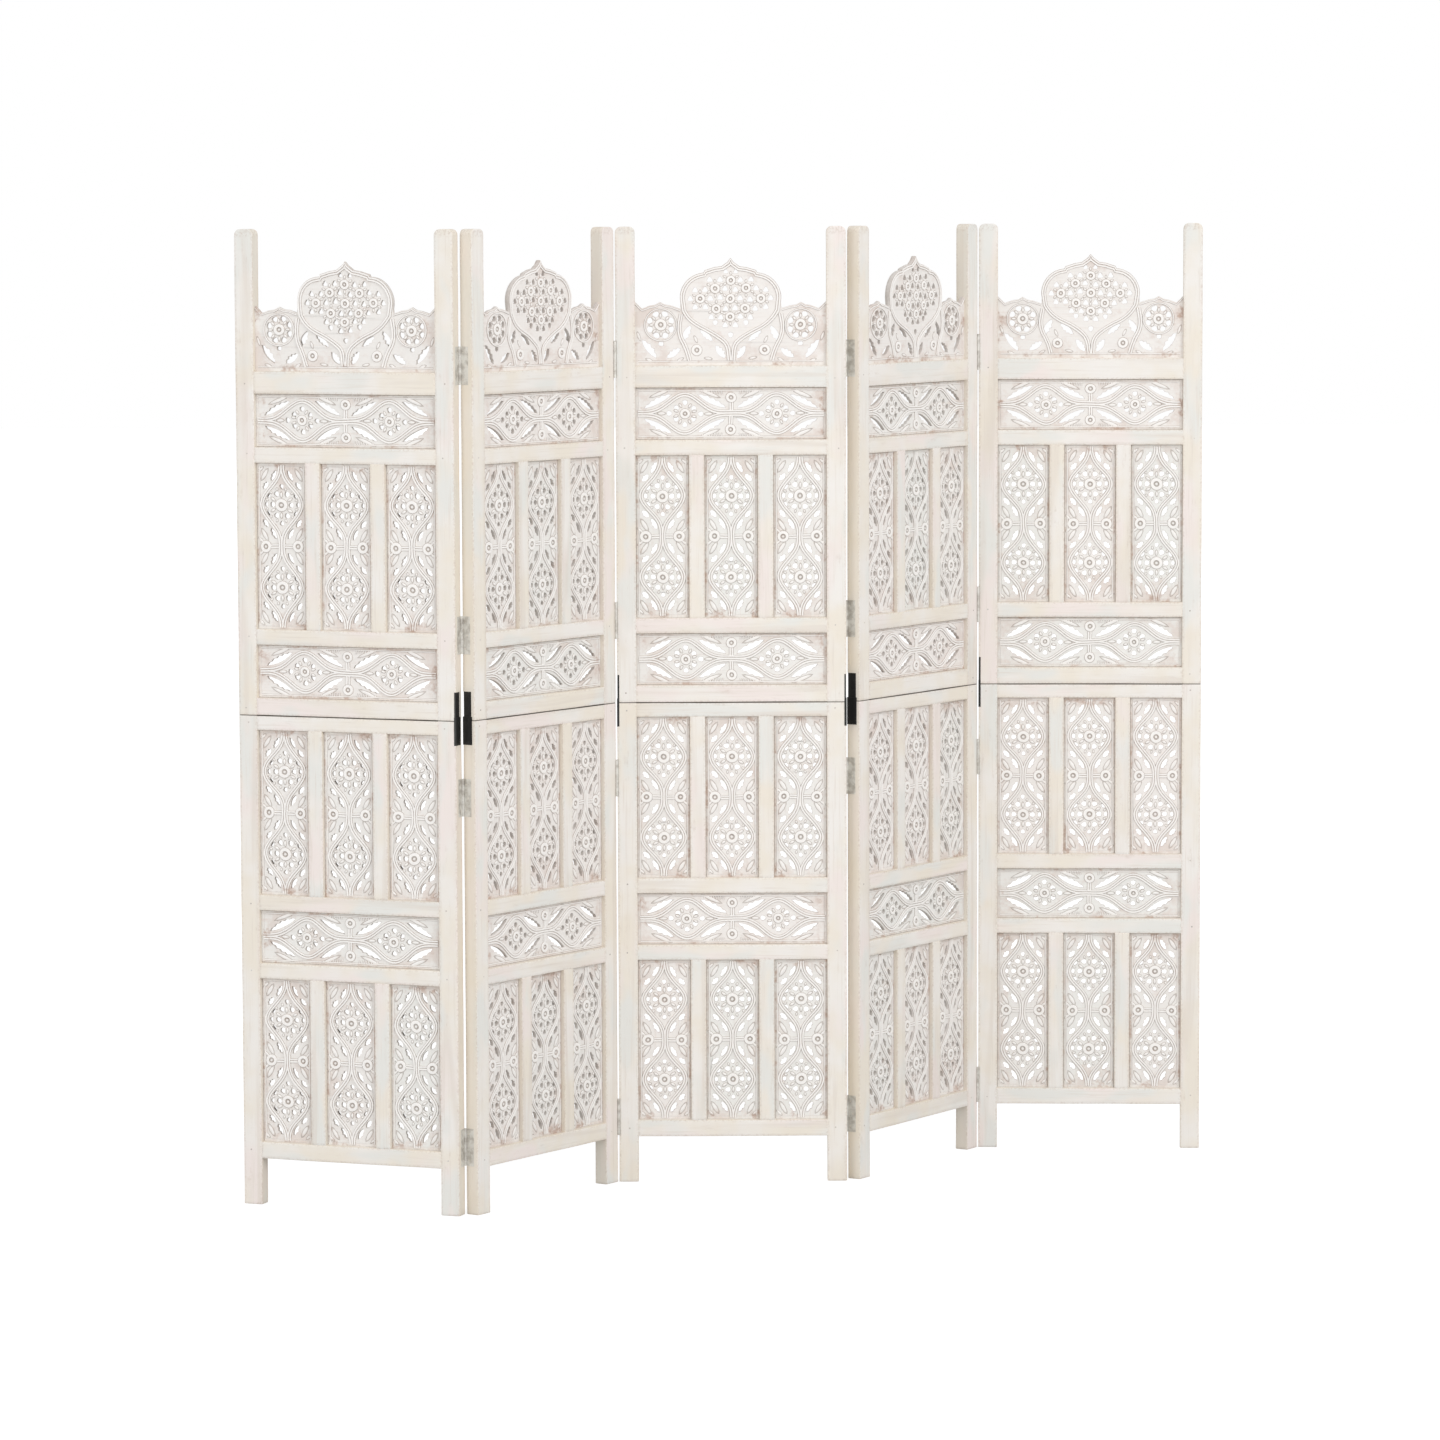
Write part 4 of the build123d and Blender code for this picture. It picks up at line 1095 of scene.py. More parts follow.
def crest_relief():
    """The carving on one face of the crest."""
    build = Build()
    edge = np.array(crest_edge())
    dome_points = len(CREST_TOP) + DOME_STEPS
    add_dome(build, edge[:dome_points])
    spray = softened(np.array(SPRAY_STEM) * MM)
    for way in (1, -1):
        add_medallion(build, way, edge[dome_points:])
        add_rosette(build, way * FOOT_ROSETTE[0], FOOT_ROSETTE[1], FOOT_ROSETTE_RADIUS)
        add_stem(build, spray * (way, 1))
        for x, y, turn, length in CREST_LEAFLETS:
            add_lobe(build, way * x * MM, y * MM, way * turn, length * MM, LEAFLET_WIDTH, LEAFLET_SHARE)
    margin, height = FOOT_LINE
    foot = [(way * (OPENING_WIDTH / 2 - margin), height) for way in (-1, 1)]
    add_ridge(build, foot, CREST_LINE_WIDTH, FOOT_LINE_SHARE * bpy.context.scene.jali_carving.relief)
    return build


# --- Carved slabs, flat and in place ----------------------------------------------------------

# Half the width and half the height of each kind of slab, what pierces it and what is carved on it.
# A crest is drawn from its foot, so its whole height counts.
SLABS = {
    "jali": (JALI_WIDTH / 2, JALI_HEIGHT / 2, jali_holes, jali_relief),
    "frieze": (OPENING_WIDTH / 2, FRIEZE_HEIGHT / 2, frieze_holes, frieze_relief),
    "crest": (OPENING_WIDTH / 2, CREST_PEAK, crest_holes, crest_relief),
}


@functools.cache
def flat_slab(kind):
    """Points, faces and relief of one kind of slab, made once and carved on both faces."""
    half_width, half_height, holes, relief = SLABS[kind]
    outline = crest_outline() if kind == "crest" else slab_outline(half_width, half_height)
    slab = Build()
    add_plate(slab, outline, holes())
    carving = relief()
    points, values = carving.gathered()
    raised = points + (0, 0, SLAB_THICKNESS / 2 - bpy.context.scene.jali_carving.relief)
    for face in (1, -1):
        slab.add(raised * (face, 1, face), carving.faces, relief=values["relief"])
    points, values = slab.gathered()
    return points, slab.faces, values["relief"]


# The lengths of the slow waves that a carver's slips follow, and how suddenly they end at the edges.
SLIP_PITCHES = (0.11, 0.061)
EDGE_CALM = 8
SLAB_GRAIN_REACH = 9


def hand_carved(points, half_width, half_height, seed):
    """Flat points with the small slips of a carver's hand, none at the slab's edges."""
    chance = random.Random(seed)
    slip = bpy.context.scene.jali_carving.slip
    x, y = points[:, 0], points[:, 1]
    calm = [np.clip(1 - share ** EDGE_CALM, 0, 1) for share in (x / half_width, y / half_height)]
    carved = points.copy()
    for axis in (0, 1):
        for pitch in SLIP_PITCHES:
            angle, phase = chance.uniform(0, math.tau), chance.uniform(0, math.tau)
            wave = np.sin(math.tau / pitch * (x * math.cos(angle) + y * math.sin(angle)) + phase)
            carved[:, axis] += slip / 2 * (calm[0] * calm[1]) * wave
    return carved


def add_slab(build, kind, x, level, seed):
    """One carved slab stood up in its opening."""
    points, faces, relief = flat_slab(kind)
    half_width, half_height = SLABS[kind][:2]
    chance = random.Random(seed)
    offset = np.array([chance.uniform(0, SLAB_GRAIN_REACH) for _ in range(3)])
    carved = hand_carved(points, half_width, half_height, seed)
    along = carved[:, [0, 2, 1]] if kind == "jali" else carved[:, [1, 2, 0]]
    share = np.column_stack([points[:, 0] / half_width, points[:, 1] / half_height,
                             np.full(len(points), chance.uniform(0, 1))])
    if kind == "crest":
        share[:, 1] = share[:, 1] * 2 - 1
    stood = moved(carved, Matrix.Translation((x, SLAB_MIDDLE, level)) @ FACING_FRONT)
    build.add(stood, faces, relief=relief, carve=share, grain=along + offset)


def dress_slabs(number, half):
    """All the carved slabs between the rails of a half."""
    stack, start, _ = HALVES[half]
    build = Build()
    for kind, bottom, top in stack_spans(stack, start):
        level = (bottom + top) / 2
        seed = f"{number} {kind} {level:.3f}"
        if kind == "frieze":
            add_slab(build, kind, PANEL_WIDTH / 2, level, seed)
        elif kind == "jali":
            for column, left in enumerate(column_starts()):
                add_slab(build, kind, left + JALI_WIDTH / 2, level, f"{seed} {column}")
    dress(build, number, f"{half}_jali", CARVED)


def dress_crest(number):
    """The crest over the top rail."""
    build = Build()
    add_slab(build, "crest", PANEL_WIDTH / 2, CREST_FOOT, f"{number} crest")
    dress(build, number, "crest", CARVED)


# --- Materials --------------------------------------------------------------------------------


# Noises: pitch each way or one pitch, detail, roughness and warp. Grain runs along the last axis.
WOOD_STREAKS = ((260, 260, 9), 4.0, 0.6)
WOOD_FIGURE = ((38, 38, 2.2), 3.0, 0.5, 0.6)
WOOD_SCUFFS = ((110, 110, 16), 4.0, 0.7)
WOOD_CLOUDS = (9.0,)
WOOD_RUBS = (70.0, 4.0, 0.65)
WOOD_CHIPS = (260.0, 4.0, 0.65)
CARVING_STREAKS = ((240, 240, 11), 4.0, 0.6)
CARVING_CLOUDS = (22.0, 3.0, 0.6)
CARVING_FLAKES = (160.0, 4.0, 0.7)
CARVING_PATCHES = (31.0, 3.0, 0.6)
ZINC_STREAKS = ((700, 700, 60),)
ZINC_BLOOM = (90.0,)
IRON_SCUFFS = ((300, 300, 120), 4.0, 0.7)
# Patches of another tone: their stretch and detail, and the pitches of the rosy and the cool ones.
PATCH_STRETCH = (2.5, 2.5, 1.0)
PATCH_DETAIL = 2.0
ROSY_PITCH = 5.0
COOL_PITCH = 6.5
# The span of its noise over which each tone comes up.
CLOUD_SPAN = (0.35, 0.65)
PATCH_SPAN = (0.52, 0.66)
FIGURE_SPAN = (0.5, 0.72)
STREAK_SPAN = (0.52, 0.78)
SCUFF_SPAN = (0.56, 0.74)
SCUFFED_RUB_SPAN = (0.4, 0.7)
CHIP_SPAN = (0.42, 0.7)
CARVING_STREAK_SPAN = (0.5, 0.8)
CARVING_RUB_SPAN = (0.74, 1.0)
BARE_SPAN = (0.54, 0.64)
BLOOM_SPAN = (0.35, 0.7)
IRON_SCUFF_SPAN = (0.58, 0.78)
# How near to a slab's rim, from its middle at 0, the wash darkens towards the rubbed tone and the wood is
# bare.
RUBBED_RIM = (0.5, 1.0)
BARE_RIM = (0.84, 0.97)
# How strong a tone is where it is full, and how far the flakes break up two of the carving's tones: the
# painted shade in the hollows and the bare wood.
FIGURE_STRENGTH = 0.5
STREAK_STRENGTH = 0.55
EDGE_STRENGTH = 0.55
CARVING_STREAK_STRENGTH = 0.4
# How strong the painted highlight on the raised lines is.
RIDGE_HIGHLIGHT_STRENGTH = 0.9
# How the flakes break up the painted shade, partly patina, in the grooves and piercings.
SUNK_FLAKES = (0.25, 0.75, 0.55, 0.95)
BARE_FLAKES = (0.35, 0.65, 0.2)
# What the flakes and the rim add to the rubbing, what a ridge takes from it so that its painted highlight
# stays pale, and the falloff of the painted shade below the ground.
FLAKE_RUB = 0.4
RIM_RUB = 0.16
RIDGE_RUB = -0.55
SUNK_FALLOFF = 0.7
# How much of the bumps is streaks and how much is rubs or flakes, and their strength and height.
WOOD_BUMPS = (0.6, 0.4)
CARVING_BUMPS = (0.5, 0.5)
WOOD_BUMP = (0.35, 0.0006)
CARVING_BUMP = (0.45, 0.0007)
ZINC_BUMP = (0.2, 0.0002)
IRON_BUMP = (0.25, 0.0003)
# Roughness: the span of the noise, and the values at its ends.
WOOD_ROUGHNESS = (0.3, 0.7, 0.52, 0.72)
CARVING_ROUGHNESS = (0.3, 0.7, 0.6, 0.8)
ZINC_ROUGHNESS = (0.3, 0.7, 0.42, 0.58)
IRON_ROUGHNESS = (0.3, 0.7, 0.38, 0.55)
FLOOR_ROUGHNESS = 0.9
ZINC_METAL = 0.55
# The angle in degrees from which a fitting's edge is softened.
BEVEL_FROM = 40


def tint(code):
    """A colour from its six-figure screen code, as linear red, green and blue."""
    shares = [int(code[start:start + 2], 16) / 255 for start in (0, 2, 4)]
    return [share / 12.92 if share <= 0.04045 else ((share + 0.055) / 1.055) ** 2.4 for share in shares]


class Nodes:
    """Short words for wiring a material's nodes."""

    def __init__(self, name):
        self.material = bpy.data.materials.new(name)
        self.material.use_nodes = True
        self.tree = self.material.node_tree
        self.shader = self.tree.nodes["Principled BSDF"]

    def link(self, value, socket):
        """Joins an output to a socket, or writes a plain value or a colour on it."""
        if isinstance(value, bpy.types.NodeSocket):
            self.tree.links.new(value, socket)
        elif isinstance(value, Color):
            socket.default_value = (*value, 1.0)
        else:
            socket.default_value = value

    def value(self, name, vector=False):
        """A value kept on the mesh's points."""
        node = self.tree.nodes.new("ShaderNodeAttribute")
        node.attribute_name = name
        return node.outputs["Vector" if vector else "Fac"]

    def math(self, operation, first, second=0.0, third=0.0):
        """One step of arithmetic on up to three numbers."""
        node = self.tree.nodes.new("ShaderNodeMath")
        node.operation = operation
        for value, socket in zip((first, second, third), node.inputs):
            self.link(value, socket)
        return node.outputs[0]

    def times(self, first, second):
        """One number times another."""
        return self.math("MULTIPLY", first, second)

    def blend(self, first, second, first_share, second_share):
        """Two numbers added up, each times its share."""
        return self.math("MULTIPLY_ADD", first, first_share, self.times(second, second_share))

    def stretch(self, vector, scale):
        """A vector with each axis scaled."""
        node = self.tree.nodes.new("ShaderNodeVectorMath")
        node.operation = "MULTIPLY"
        self.link(vector, node.inputs[0])
        node.inputs[1].default_value = scale
        return node.outputs[0]

    def noise(self, vector, pitch, detail=3.0, roughness=0.55, warp=0.0):
        """Smooth noise between 0 and 1."""
        node = self.tree.nodes.new("ShaderNodeTexNoise")
        if isinstance(pitch, tuple):
            vector, pitch = self.stretch(vector, pitch), 1.0
        settings = (vector, pitch, detail, roughness, warp)
        for name, value in zip(("Vector", "Scale", "Detail", "Roughness", "Distortion"), settings):
            self.link(value, node.inputs[name])
        return node.outputs["Fac"]

    def between(self, value, low, high, start=0.0, end=1.0):
        """A value's range from low to high eased onto another range."""
        node = self.tree.nodes.new("ShaderNodeMapRange")
        node.interpolation_type = "SMOOTHSTEP"
        for item, socket in zip((value, low, high, start, end), node.inputs):
            self.link(item, socket)
        return node.outputs[0]

    def mix(self, share, first, second):
        """A mix of two colours."""
        node = self.tree.nodes.new("ShaderNodeMix")
        node.data_type = "RGBA"
        colours = [socket for socket in node.inputs if socket.type == "RGBA"]
        for value, socket in zip((share, first, second), (node.inputs["Factor"], *colours)):
            self.link(value, socket)
        return node.outputs[2]

    def layered(self, ground, layers):
        """A ground colour with others laid over it, from rows of (share, colour)."""
        for share, tone in layers:
            ground = self.mix(share, ground, tone)
        return ground

    def bump(self, height, strength, distance):
        """A bumped surface direction."""
        node = self.tree.nodes.new("ShaderNodeBump")
        self.link(height, node.inputs["Height"])
        node.inputs["Strength"].default_value = strength
        node.inputs["Distance"].default_value = distance
        return node.outputs["Normal"]

    def set(self, **inputs):
        """Writes or joins the shader's sockets, named in words with underscores."""
        for name, value in inputs.items():
            self.link(value, self.shader.inputs[name.replace("_", " ")])
        return self.material


def wood_material(nodes):
    """Whitewash rubbed thin over mango wood, worn at the arrises, with grey peg heads and a line of painted
    shade where the halves meet.
    """
    wood = bpy.context.scene.jali_wood
    grain = nodes.value("grain", vector=True)
    streaks = nodes.noise(grain, *WOOD_STREAKS)
    figure = nodes.noise(grain, *WOOD_FIGURE)
    rubs = nodes.noise(grain, *WOOD_RUBS)
    scuffs = nodes.times(nodes.between(nodes.noise(grain, *WOOD_SCUFFS), *SCUFF_SPAN),
                         nodes.between(rubs, *SCUFFED_RUB_SPAN))
    chips = nodes.between(nodes.noise(grain, *WOOD_CHIPS), *CHIP_SPAN)
    painted = nodes.layered(wood.whitewash, (
        (nodes.between(nodes.noise(grain, *WOOD_CLOUDS), *CLOUD_SPAN), wood.whitewash_warm),
        (patches(nodes, grain, ROSY_PITCH), wood.whitewash_rosy),
        (patches(nodes, grain, COOL_PITCH), wood.whitewash_cool),
        (nodes.times(nodes.between(figure, *FIGURE_SPAN), FIGURE_STRENGTH), wood.thin_wash),
        (nodes.times(nodes.between(streaks, *STREAK_SPAN), STREAK_STRENGTH), wood.thin_wash),
        (nodes.times(scuffs, wood.scuff), wood.bare),
        (nodes.times(nodes.value("side"), EDGE_STRENGTH), wood.edge_wash),
        (nodes.times(nodes.times(nodes.value("wear"), chips), wood.wear), wood.bare),
        (nodes.value("fleck"), wood.peg_tone),
        # Painted shade in the crack between the halves.
        (nodes.value("dirt"), wood.dirt),
    ))
    height = nodes.blend(streaks, rubs, *WOOD_BUMPS)
    return nodes.set(Base_Color=painted, Roughness=nodes.between(rubs, *WOOD_ROUGHNESS),
                     Normal=nodes.bump(height, *WOOD_BUMP))


def patches(nodes, grain, pitch):
    """Large soft patches where the wash has another tone."""
    noise = nodes.noise(nodes.stretch(grain, PATCH_STRETCH), pitch, PATCH_DETAIL)
    return nodes.between(noise, *PATCH_SPAN)


def carving_material(nodes):
    """Chalky whitewash on carved wood: a painted highlight on the ridges, painted shade in the hollows that
    is partly patina, and darker pink-brown towards the edges.
    """
    carving = bpy.context.scene.jali_carving
    grain = nodes.value("grain", vector=True)
    relief = nodes.value("relief")
    place = nodes.tree.nodes.new("ShaderNodeSeparateXYZ")
    nodes.link(nodes.value("carve", vector=True), place.inputs[0])
    across, up, tone = place.outputs
    rim = nodes.math("MAXIMUM", nodes.math("ABSOLUTE", across), nodes.math("ABSOLUTE", up))
    streaks = nodes.noise(grain, *CARVING_STREAKS)
    flakes = nodes.noise(grain, *CARVING_FLAKES)
    raised = nodes.math("MAXIMUM", relief, 0.0)
    clouds = nodes.math("MULTIPLY_ADD", flakes, FLAKE_RUB, nodes.noise(grain, *CARVING_CLOUDS))
    rub = nodes.math("MULTIPLY_ADD", nodes.between(rim, *RUBBED_RIM), RIM_RUB, clouds)
    rub = nodes.between(rub, *CARVING_RUB_SPAN)
    sunk = nodes.math("POWER", nodes.math("MAXIMUM", nodes.times(relief, -1.0), 0.0), SUNK_FALLOFF)
    worn = nodes.times(nodes.between(nodes.noise(grain, *CARVING_PATCHES), *BARE_SPAN),
                       nodes.between(rim, *BARE_RIM))
    wash = nodes.layered(carving.whitewash, (
        (tone, carving.whitewash_grey),
        (nodes.times(nodes.between(streaks, *CARVING_STREAK_SPAN), CARVING_STREAK_STRENGTH), carving.rubbed),
        # The ridges are rubbed less and take the painted highlight; the sunk tone is painted shade, partly
        # patina in the grooves.
        (nodes.times(rub, nodes.math("MULTIPLY_ADD", raised, RIDGE_RUB, carving.rub)), carving.rubbed),
        (nodes.times(sunk, nodes.between(flakes, *SUNK_FLAKES)), carving.sunk),
        (nodes.times(raised, RIDGE_HIGHLIGHT_STRENGTH), carving.ridge),
        (nodes.times(worn, nodes.between(flakes, *BARE_FLAKES, carving.patch)), carving.bare),
    ))
    height = nodes.blend(streaks, flakes, *CARVING_BUMPS)
    return nodes.set(Base_Color=wash, Roughness=nodes.between(flakes, *CARVING_ROUGHNESS),
                     Normal=nodes.bump(height, *CARVING_BUMP))


def solid_place(nodes):
    """A point of a CAD solid in metres, with no offset."""
    return nodes.tree.nodes.new("ShaderNodeTexCoord").outputs["Object"]


def zinc_material(nodes):
    """Dull zinc plate, streaked by handling, with some tarnish."""
    fittings = bpy.context.scene.jali_fittings
    place = solid_place(nodes)
    streaks = nodes.noise(place, *ZINC_STREAKS)
    bloom = nodes.between(nodes.noise(place, *ZINC_BLOOM), *BLOOM_SPAN)
    return nodes.set(Base_Color=nodes.mix(bloom, fittings.zinc, fittings.tarnish), Metallic=ZINC_METAL,
                     Roughness=nodes.between(streaks, *ZINC_ROUGHNESS),
                     Normal=nodes.bump(streaks, *ZINC_BUMP))


def iron_material(nodes):
    """Black paint on iron, satin, a little scuffed."""
    fittings = bpy.context.scene.jali_fittings
    scuffs = nodes.noise(solid_place(nodes), *IRON_SCUFFS)
    tone = nodes.mix(nodes.between(scuffs, *IRON_SCUFF_SPAN), fittings.black, fittings.scuffed)
    return nodes.set(Base_Color=tone, Roughness=nodes.between(scuffs, *IRON_ROUGHNESS),
                     Normal=nodes.bump(scuffs, *IRON_BUMP))


MATERIALS = {
    "whitewashed_frame_wood": wood_material,
    "carved_jali_wood": carving_material,
    "hinge_steel_zinc": zinc_material,
    "black_iron_paint": iron_material,
}
# Each finish: what the piece's name ends in, its slot, its material, and the angle in degrees from
# which an edge is sharp.
WOOD = ("_wood", "whitewashed_frame", "whitewashed_frame_wood", 40)
CARVED = ("_carving", "carved_jali", "carved_jali_wood", 38)


def material(name):
    """The material of a name, made when it is first asked for."""
    return bpy.data.materials.get(name) or MATERIALS[name](Nodes(name))


def dress_fittings(endings, finish):
    """The CAD fittings keep their solids, and get a finish and softened edges."""
    for node in frame["nodes"]:
        if not node.endswith(endings):
            continue
        fitting = bpy.data.objects[node]
        fitting.data.materials.clear()
        fitting.data.materials.append(material(finish))
        bevel = fitting.modifiers.new("soft edges", "BEVEL")
        bevel.width = bpy.context.scene.jali_fittings.easing
        bevel.segments = 2
        bevel.limit_method = "ANGLE"
        bevel.angle_limit = math.radians(BEVEL_FROM)
        bevel.harden_normals = True


# --- Stage ------------------------------------------------------------------------------------


WHITE = (1, 1, 1, 1)
# Each soft box: where it hangs, where it aims, and the length of its sides.
KEY_LAMP = ((4.2, -5.6, 4.0), (0.2, 0, 0.8), 3.6)
FILL_LAMP = ((-4.0, -5.5, 1.2), (0, 0, 0.8), 3.0)
SENSOR_WIDTH = 36.0
CAMERA_REACH = 100.0


def white_to_the_eye(nodes, paths):
    """1 for a ray that shows the background, and 0 for one that lights the object."""
    light = nodes.new("ShaderNodeLightPath")
    total = light.outputs[paths[0]]
    for path in paths[1:]:
        add = nodes.new("ShaderNodeMath")
        add.operation = "MAXIMUM"
        add.id_data.links.new(total, add.inputs[0])
        add.id_data.links.new(light.outputs[path], add.inputs[1])
        total = add.outputs[0]
    return total


def lay_floor():
    """A wide pale floor that takes the screen's shadow."""
    stage = bpy.context.scene.jali_stage
    nodes = Nodes("studio_floor")
    seen = white_to_the_eye(nodes.tree.nodes, ["Is Camera Ray"])
    glow = nodes.math("MULTIPLY", seen, stage.floor_glow)
    nodes.set(Base_Color=stage.floor, Roughness=FLOOR_ROUGHNESS, Emission_Color=WHITE,
              Emission_Strength=glow)
    reach = stage.floor_reach
    corners = [(-reach, -reach, 0), (reach, -reach, 0), (reach, reach, 0), (-reach, reach, 0)]
    mesh = bpy.data.meshes.new("studio_floor")
    mesh.from_pydata(corners, [], [(0, 1, 2, 3)])
    mesh.materials.append(nodes.material)
    floor = bpy.data.objects.new("studio_floor", mesh)
    bpy.context.scene.collection.objects.link(floor)


def light_world():
    """A white surround to the eye, and a softer one to the object."""
    stage = bpy.context.scene.jali_stage
    world = bpy.data.worlds.new("studio")
    bpy.context.scene.world = world
    world.use_nodes = True
    nodes, links = world.node_tree.nodes, world.node_tree.links
    seen = white_to_the_eye(nodes, ["Is Camera Ray", "Is Glossy Ray", "Is Transmission Ray"])
    strength = nodes.new("ShaderNodeMapRange")
    links.new(seen, strength.inputs["Value"])
    strength.inputs["To Min"].default_value = stage.surround
    strength.inputs["To Max"].default_value = 1.0
    links.new(strength.outputs[0], nodes["Background"].inputs["Strength"])
    nodes["Background"].inputs["Color"].default_value = WHITE


def hang_lamp(name, place, aim, size, power):
    """A square soft box."""
    lamp = bpy.data.lights.new(name, "AREA")
    lamp.size = size
    lamp.energy = power
    carrier = bpy.data.objects.new(name, lamp)
    carrier.location = place
    carrier.rotation_euler = (Vector(aim) - Vector(place)).to_track_quat("-Z", "Y").to_euler()
    bpy.context.scene.collection.objects.link(carrier)


def set_camera():
    """A long lens at standing height, a little left of the middle."""
    stage = bpy.context.scene.jali_stage
    camera = bpy.data.cameras.new("camera")
    camera.lens = stage.lens
    camera.sensor_width = SENSOR_WIDTH
    camera.clip_end = CAMERA_REACH
    carrier = bpy.data.objects.new("camera", camera)
    swing = Matrix.Rotation(-stage.swing, 4, "Z")
    nod = Matrix.Rotation(math.radians(90) + stage.nod, 4, "X")
    roll = Matrix.Rotation(stage.roll, 4, "Z")
    carrier.matrix_world = Matrix.Translation(stage.camera_place) @ swing @ nod @ roll
    bpy.context.scene.collection.objects.link(carrier)
    bpy.context.scene.camera = carrier


# --- Sizes and colours that a user would change -------------------------------------------------


def length_property(name, description, default):
    """A length in metres."""
    return bpy.props.FloatProperty(name=name, description=description, default=default, min=0.0,
                                   subtype="DISTANCE", unit="LENGTH", precision=5)


def share_property(name, description, default, maximum=1.0):
    """A plain number from nothing up."""
    return bpy.props.FloatProperty(name=name, description=description, default=default, min=0.0,
                                   max=maximum, subtype="FACTOR")


def turn_property(name, description, default):
    """An angle, given in degrees."""
    return bpy.props.FloatProperty(name=name, description=description, default=math.radians(default),
                                   subtype="ANGLE", unit="ROTATION")


def colour_property(name, description, code):
    """A colour, given as its screen code."""
    return bpy.props.FloatVectorProperty(name=name, description=description, default=tint(code), size=3,
                                         min=0.0, max=1.0, subtype="COLOR")


class JaliWood(bpy.types.PropertyGroup):
    """The boards of the frame."""

    arris: length_property("Arris", "Radius of the boards' worn edges", 1.2 * MM)
    skin: length_property("Skin", "Width of the worn strip beside an edge", 5 * MM)
    wave: length_property("Wave", "How far a hand-planed board strays", 0.2 * MM)
    bay: length_property("Bay", "Distance between a board's sections", 40 * MM)
    shy: length_property("Shy", "How far a board's face lies inside the solid's", 0.3 * MM)
    tuck: length_property("Tuck", "How far a rail runs into its post", 1.1 * MM)
    peg: length_property("Peg", "Radius of a peg's head", 1.6 * MM)
    wear: share_property("Wear", "How much bare wood shows at the edges", 0.4)
    scuff: share_property("Scuff", "How much bare wood shows in rubbed streaks", 0.3)
    whitewash: colour_property("Whitewash", "The wash where it is full", "f1ede8")
    whitewash_rosy: colour_property("Rosy whitewash", "The wash where it has reddened", "f1e7e2")
    whitewash_cool: colour_property("Cool whitewash", "The wash where it is thick and grey", "e9e8e3")
    whitewash_warm: colour_property("Warm whitewash", "The wash where it has yellowed", "eee6d9")
    thin_wash: colour_property("Thin wash", "The wash where grain shows through", "ded4c9")
    edge_wash: colour_property("Edge wash", "The wash on a panel's narrow edges", "e6dccb")
    bare: colour_property("Bare wood", "The wood where the wash is worn away", "bfaa9a")
    peg_tone: colour_property("Peg tone", "The end grain of a peg", "b5aca5")
    # Painted shade in the crack where the halves meet.
    dirt: colour_property("Seam shade", "The line where the halves meet", "736a61")


class JaliCarving(bpy.types.PropertyGroup):
    """The carved slabs."""

    relief: length_property("Relief", "Height of the carving over its ground", 2.0 * MM)
    skirt: length_property("Skirt", "Width of the shade beside a raised line", 0.8 * MM)
    easing: length_property("Easing", "How far a piercing's edge is eased", 0.8 * MM)
    line: length_property("Line", "Width of a carved line", 2.6 * MM)
    spread: length_property("Spread", "Half the distance between the lines of a stem", 2.2 * MM)
    rim: length_property("Rim", "Width of the shade where a slab meets its frame", 1.4 * MM)
    margin: length_property("Margin", "Distance of the border line from the opening", 5 * MM)
    slip: length_property("Slip", "How far a carver's hand strays", 0.9 * MM)
    rub: share_property("Rub", "How strongly the wash is rubbed through", 0.6)
    # Painted shade inside the piercings.
    wall_shade: share_property("Wall shade", "How dark the wash is inside a piercing", 0.3)
    patch: share_property("Patch", "How bare the wood is where a slab's rim is worn", 0.75)
    whitewash: colour_property("Whitewash", "The wash on the carving", "f1ece8")
    whitewash_grey: colour_property("Grey whitewash", "The wash on a greyer slab", "ecebe7")
    rubbed: colour_property("Rubbed", "The wash where the wood shows through", "dccdc4")
    # Painted shade in the piercings and at the feet of raised lines, partly patina in the grooves.
    sunk: colour_property("Sunk", "The wash down in the grooves and piercings", "a4988f")
    # Painted highlight on the raised lines.
    ridge: colour_property("Ridge", "The wash on the raised lines", "faf7f4")
    bare: colour_property("Bare", "Wood with no wash left", "b89a88")


class JaliFittings(bpy.types.PropertyGroup):
    """The hinges and the straps at the seam."""

    easing: length_property("Easing", "Radius of the metal's softened edges", 0.25 * MM)
    zinc: colour_property("Zinc", "Zinc plate", "e4e2dc")
    tarnish: colour_property("Tarnish", "Zinc plate gone dull", "bfbab1")
    black: colour_property("Black", "Paint on the iron straps", "1a1918")
    scuffed: colour_property("Scuffed", "The straps where they are scuffed", "3b3836")


class JaliStage(bpy.types.PropertyGroup):
    """The floor, the lamps and the camera."""

    floor: colour_property("Floor", "The studio floor", "bcbcbc")
    floor_glow: share_property("Floor glow", "How far the floor is lifted towards white", 0.66)
    floor_reach: length_property("Floor reach", "Half the floor's width", 30.0)
    surround: share_property("Surround", "Strength of the light from all round", 0.8, 4.0)
    camera_place: bpy.props.FloatVectorProperty(
        name="Camera place", description="Where the camera stands", default=(-0.097, -9.8988, 1.7376),
        subtype="TRANSLATION", unit="LENGTH", size=3)
    swing: turn_property("Swing", "The camera's turn to the right", 0.429)
    nod: turn_property("Nod", "The camera's tilt upwards", -5.4)
    roll: turn_property("Roll", "The camera's roll", -0.193)
    lens: bpy.props.FloatProperty(name="Lens", description="Focal length in mm", default=144.18, min=1.0,
                                  subtype="DISTANCE_CAMERA")
    key_power: bpy.props.FloatProperty(name="Key light", description="Power of the large soft box",
                                       default=180.0, min=0.0, subtype="POWER", unit="POWER")
    fill_power: bpy.props.FloatProperty(name="Fill light", description="Power of the lower soft box",
                                        default=85.0, min=0.0, subtype="POWER", unit="POWER")


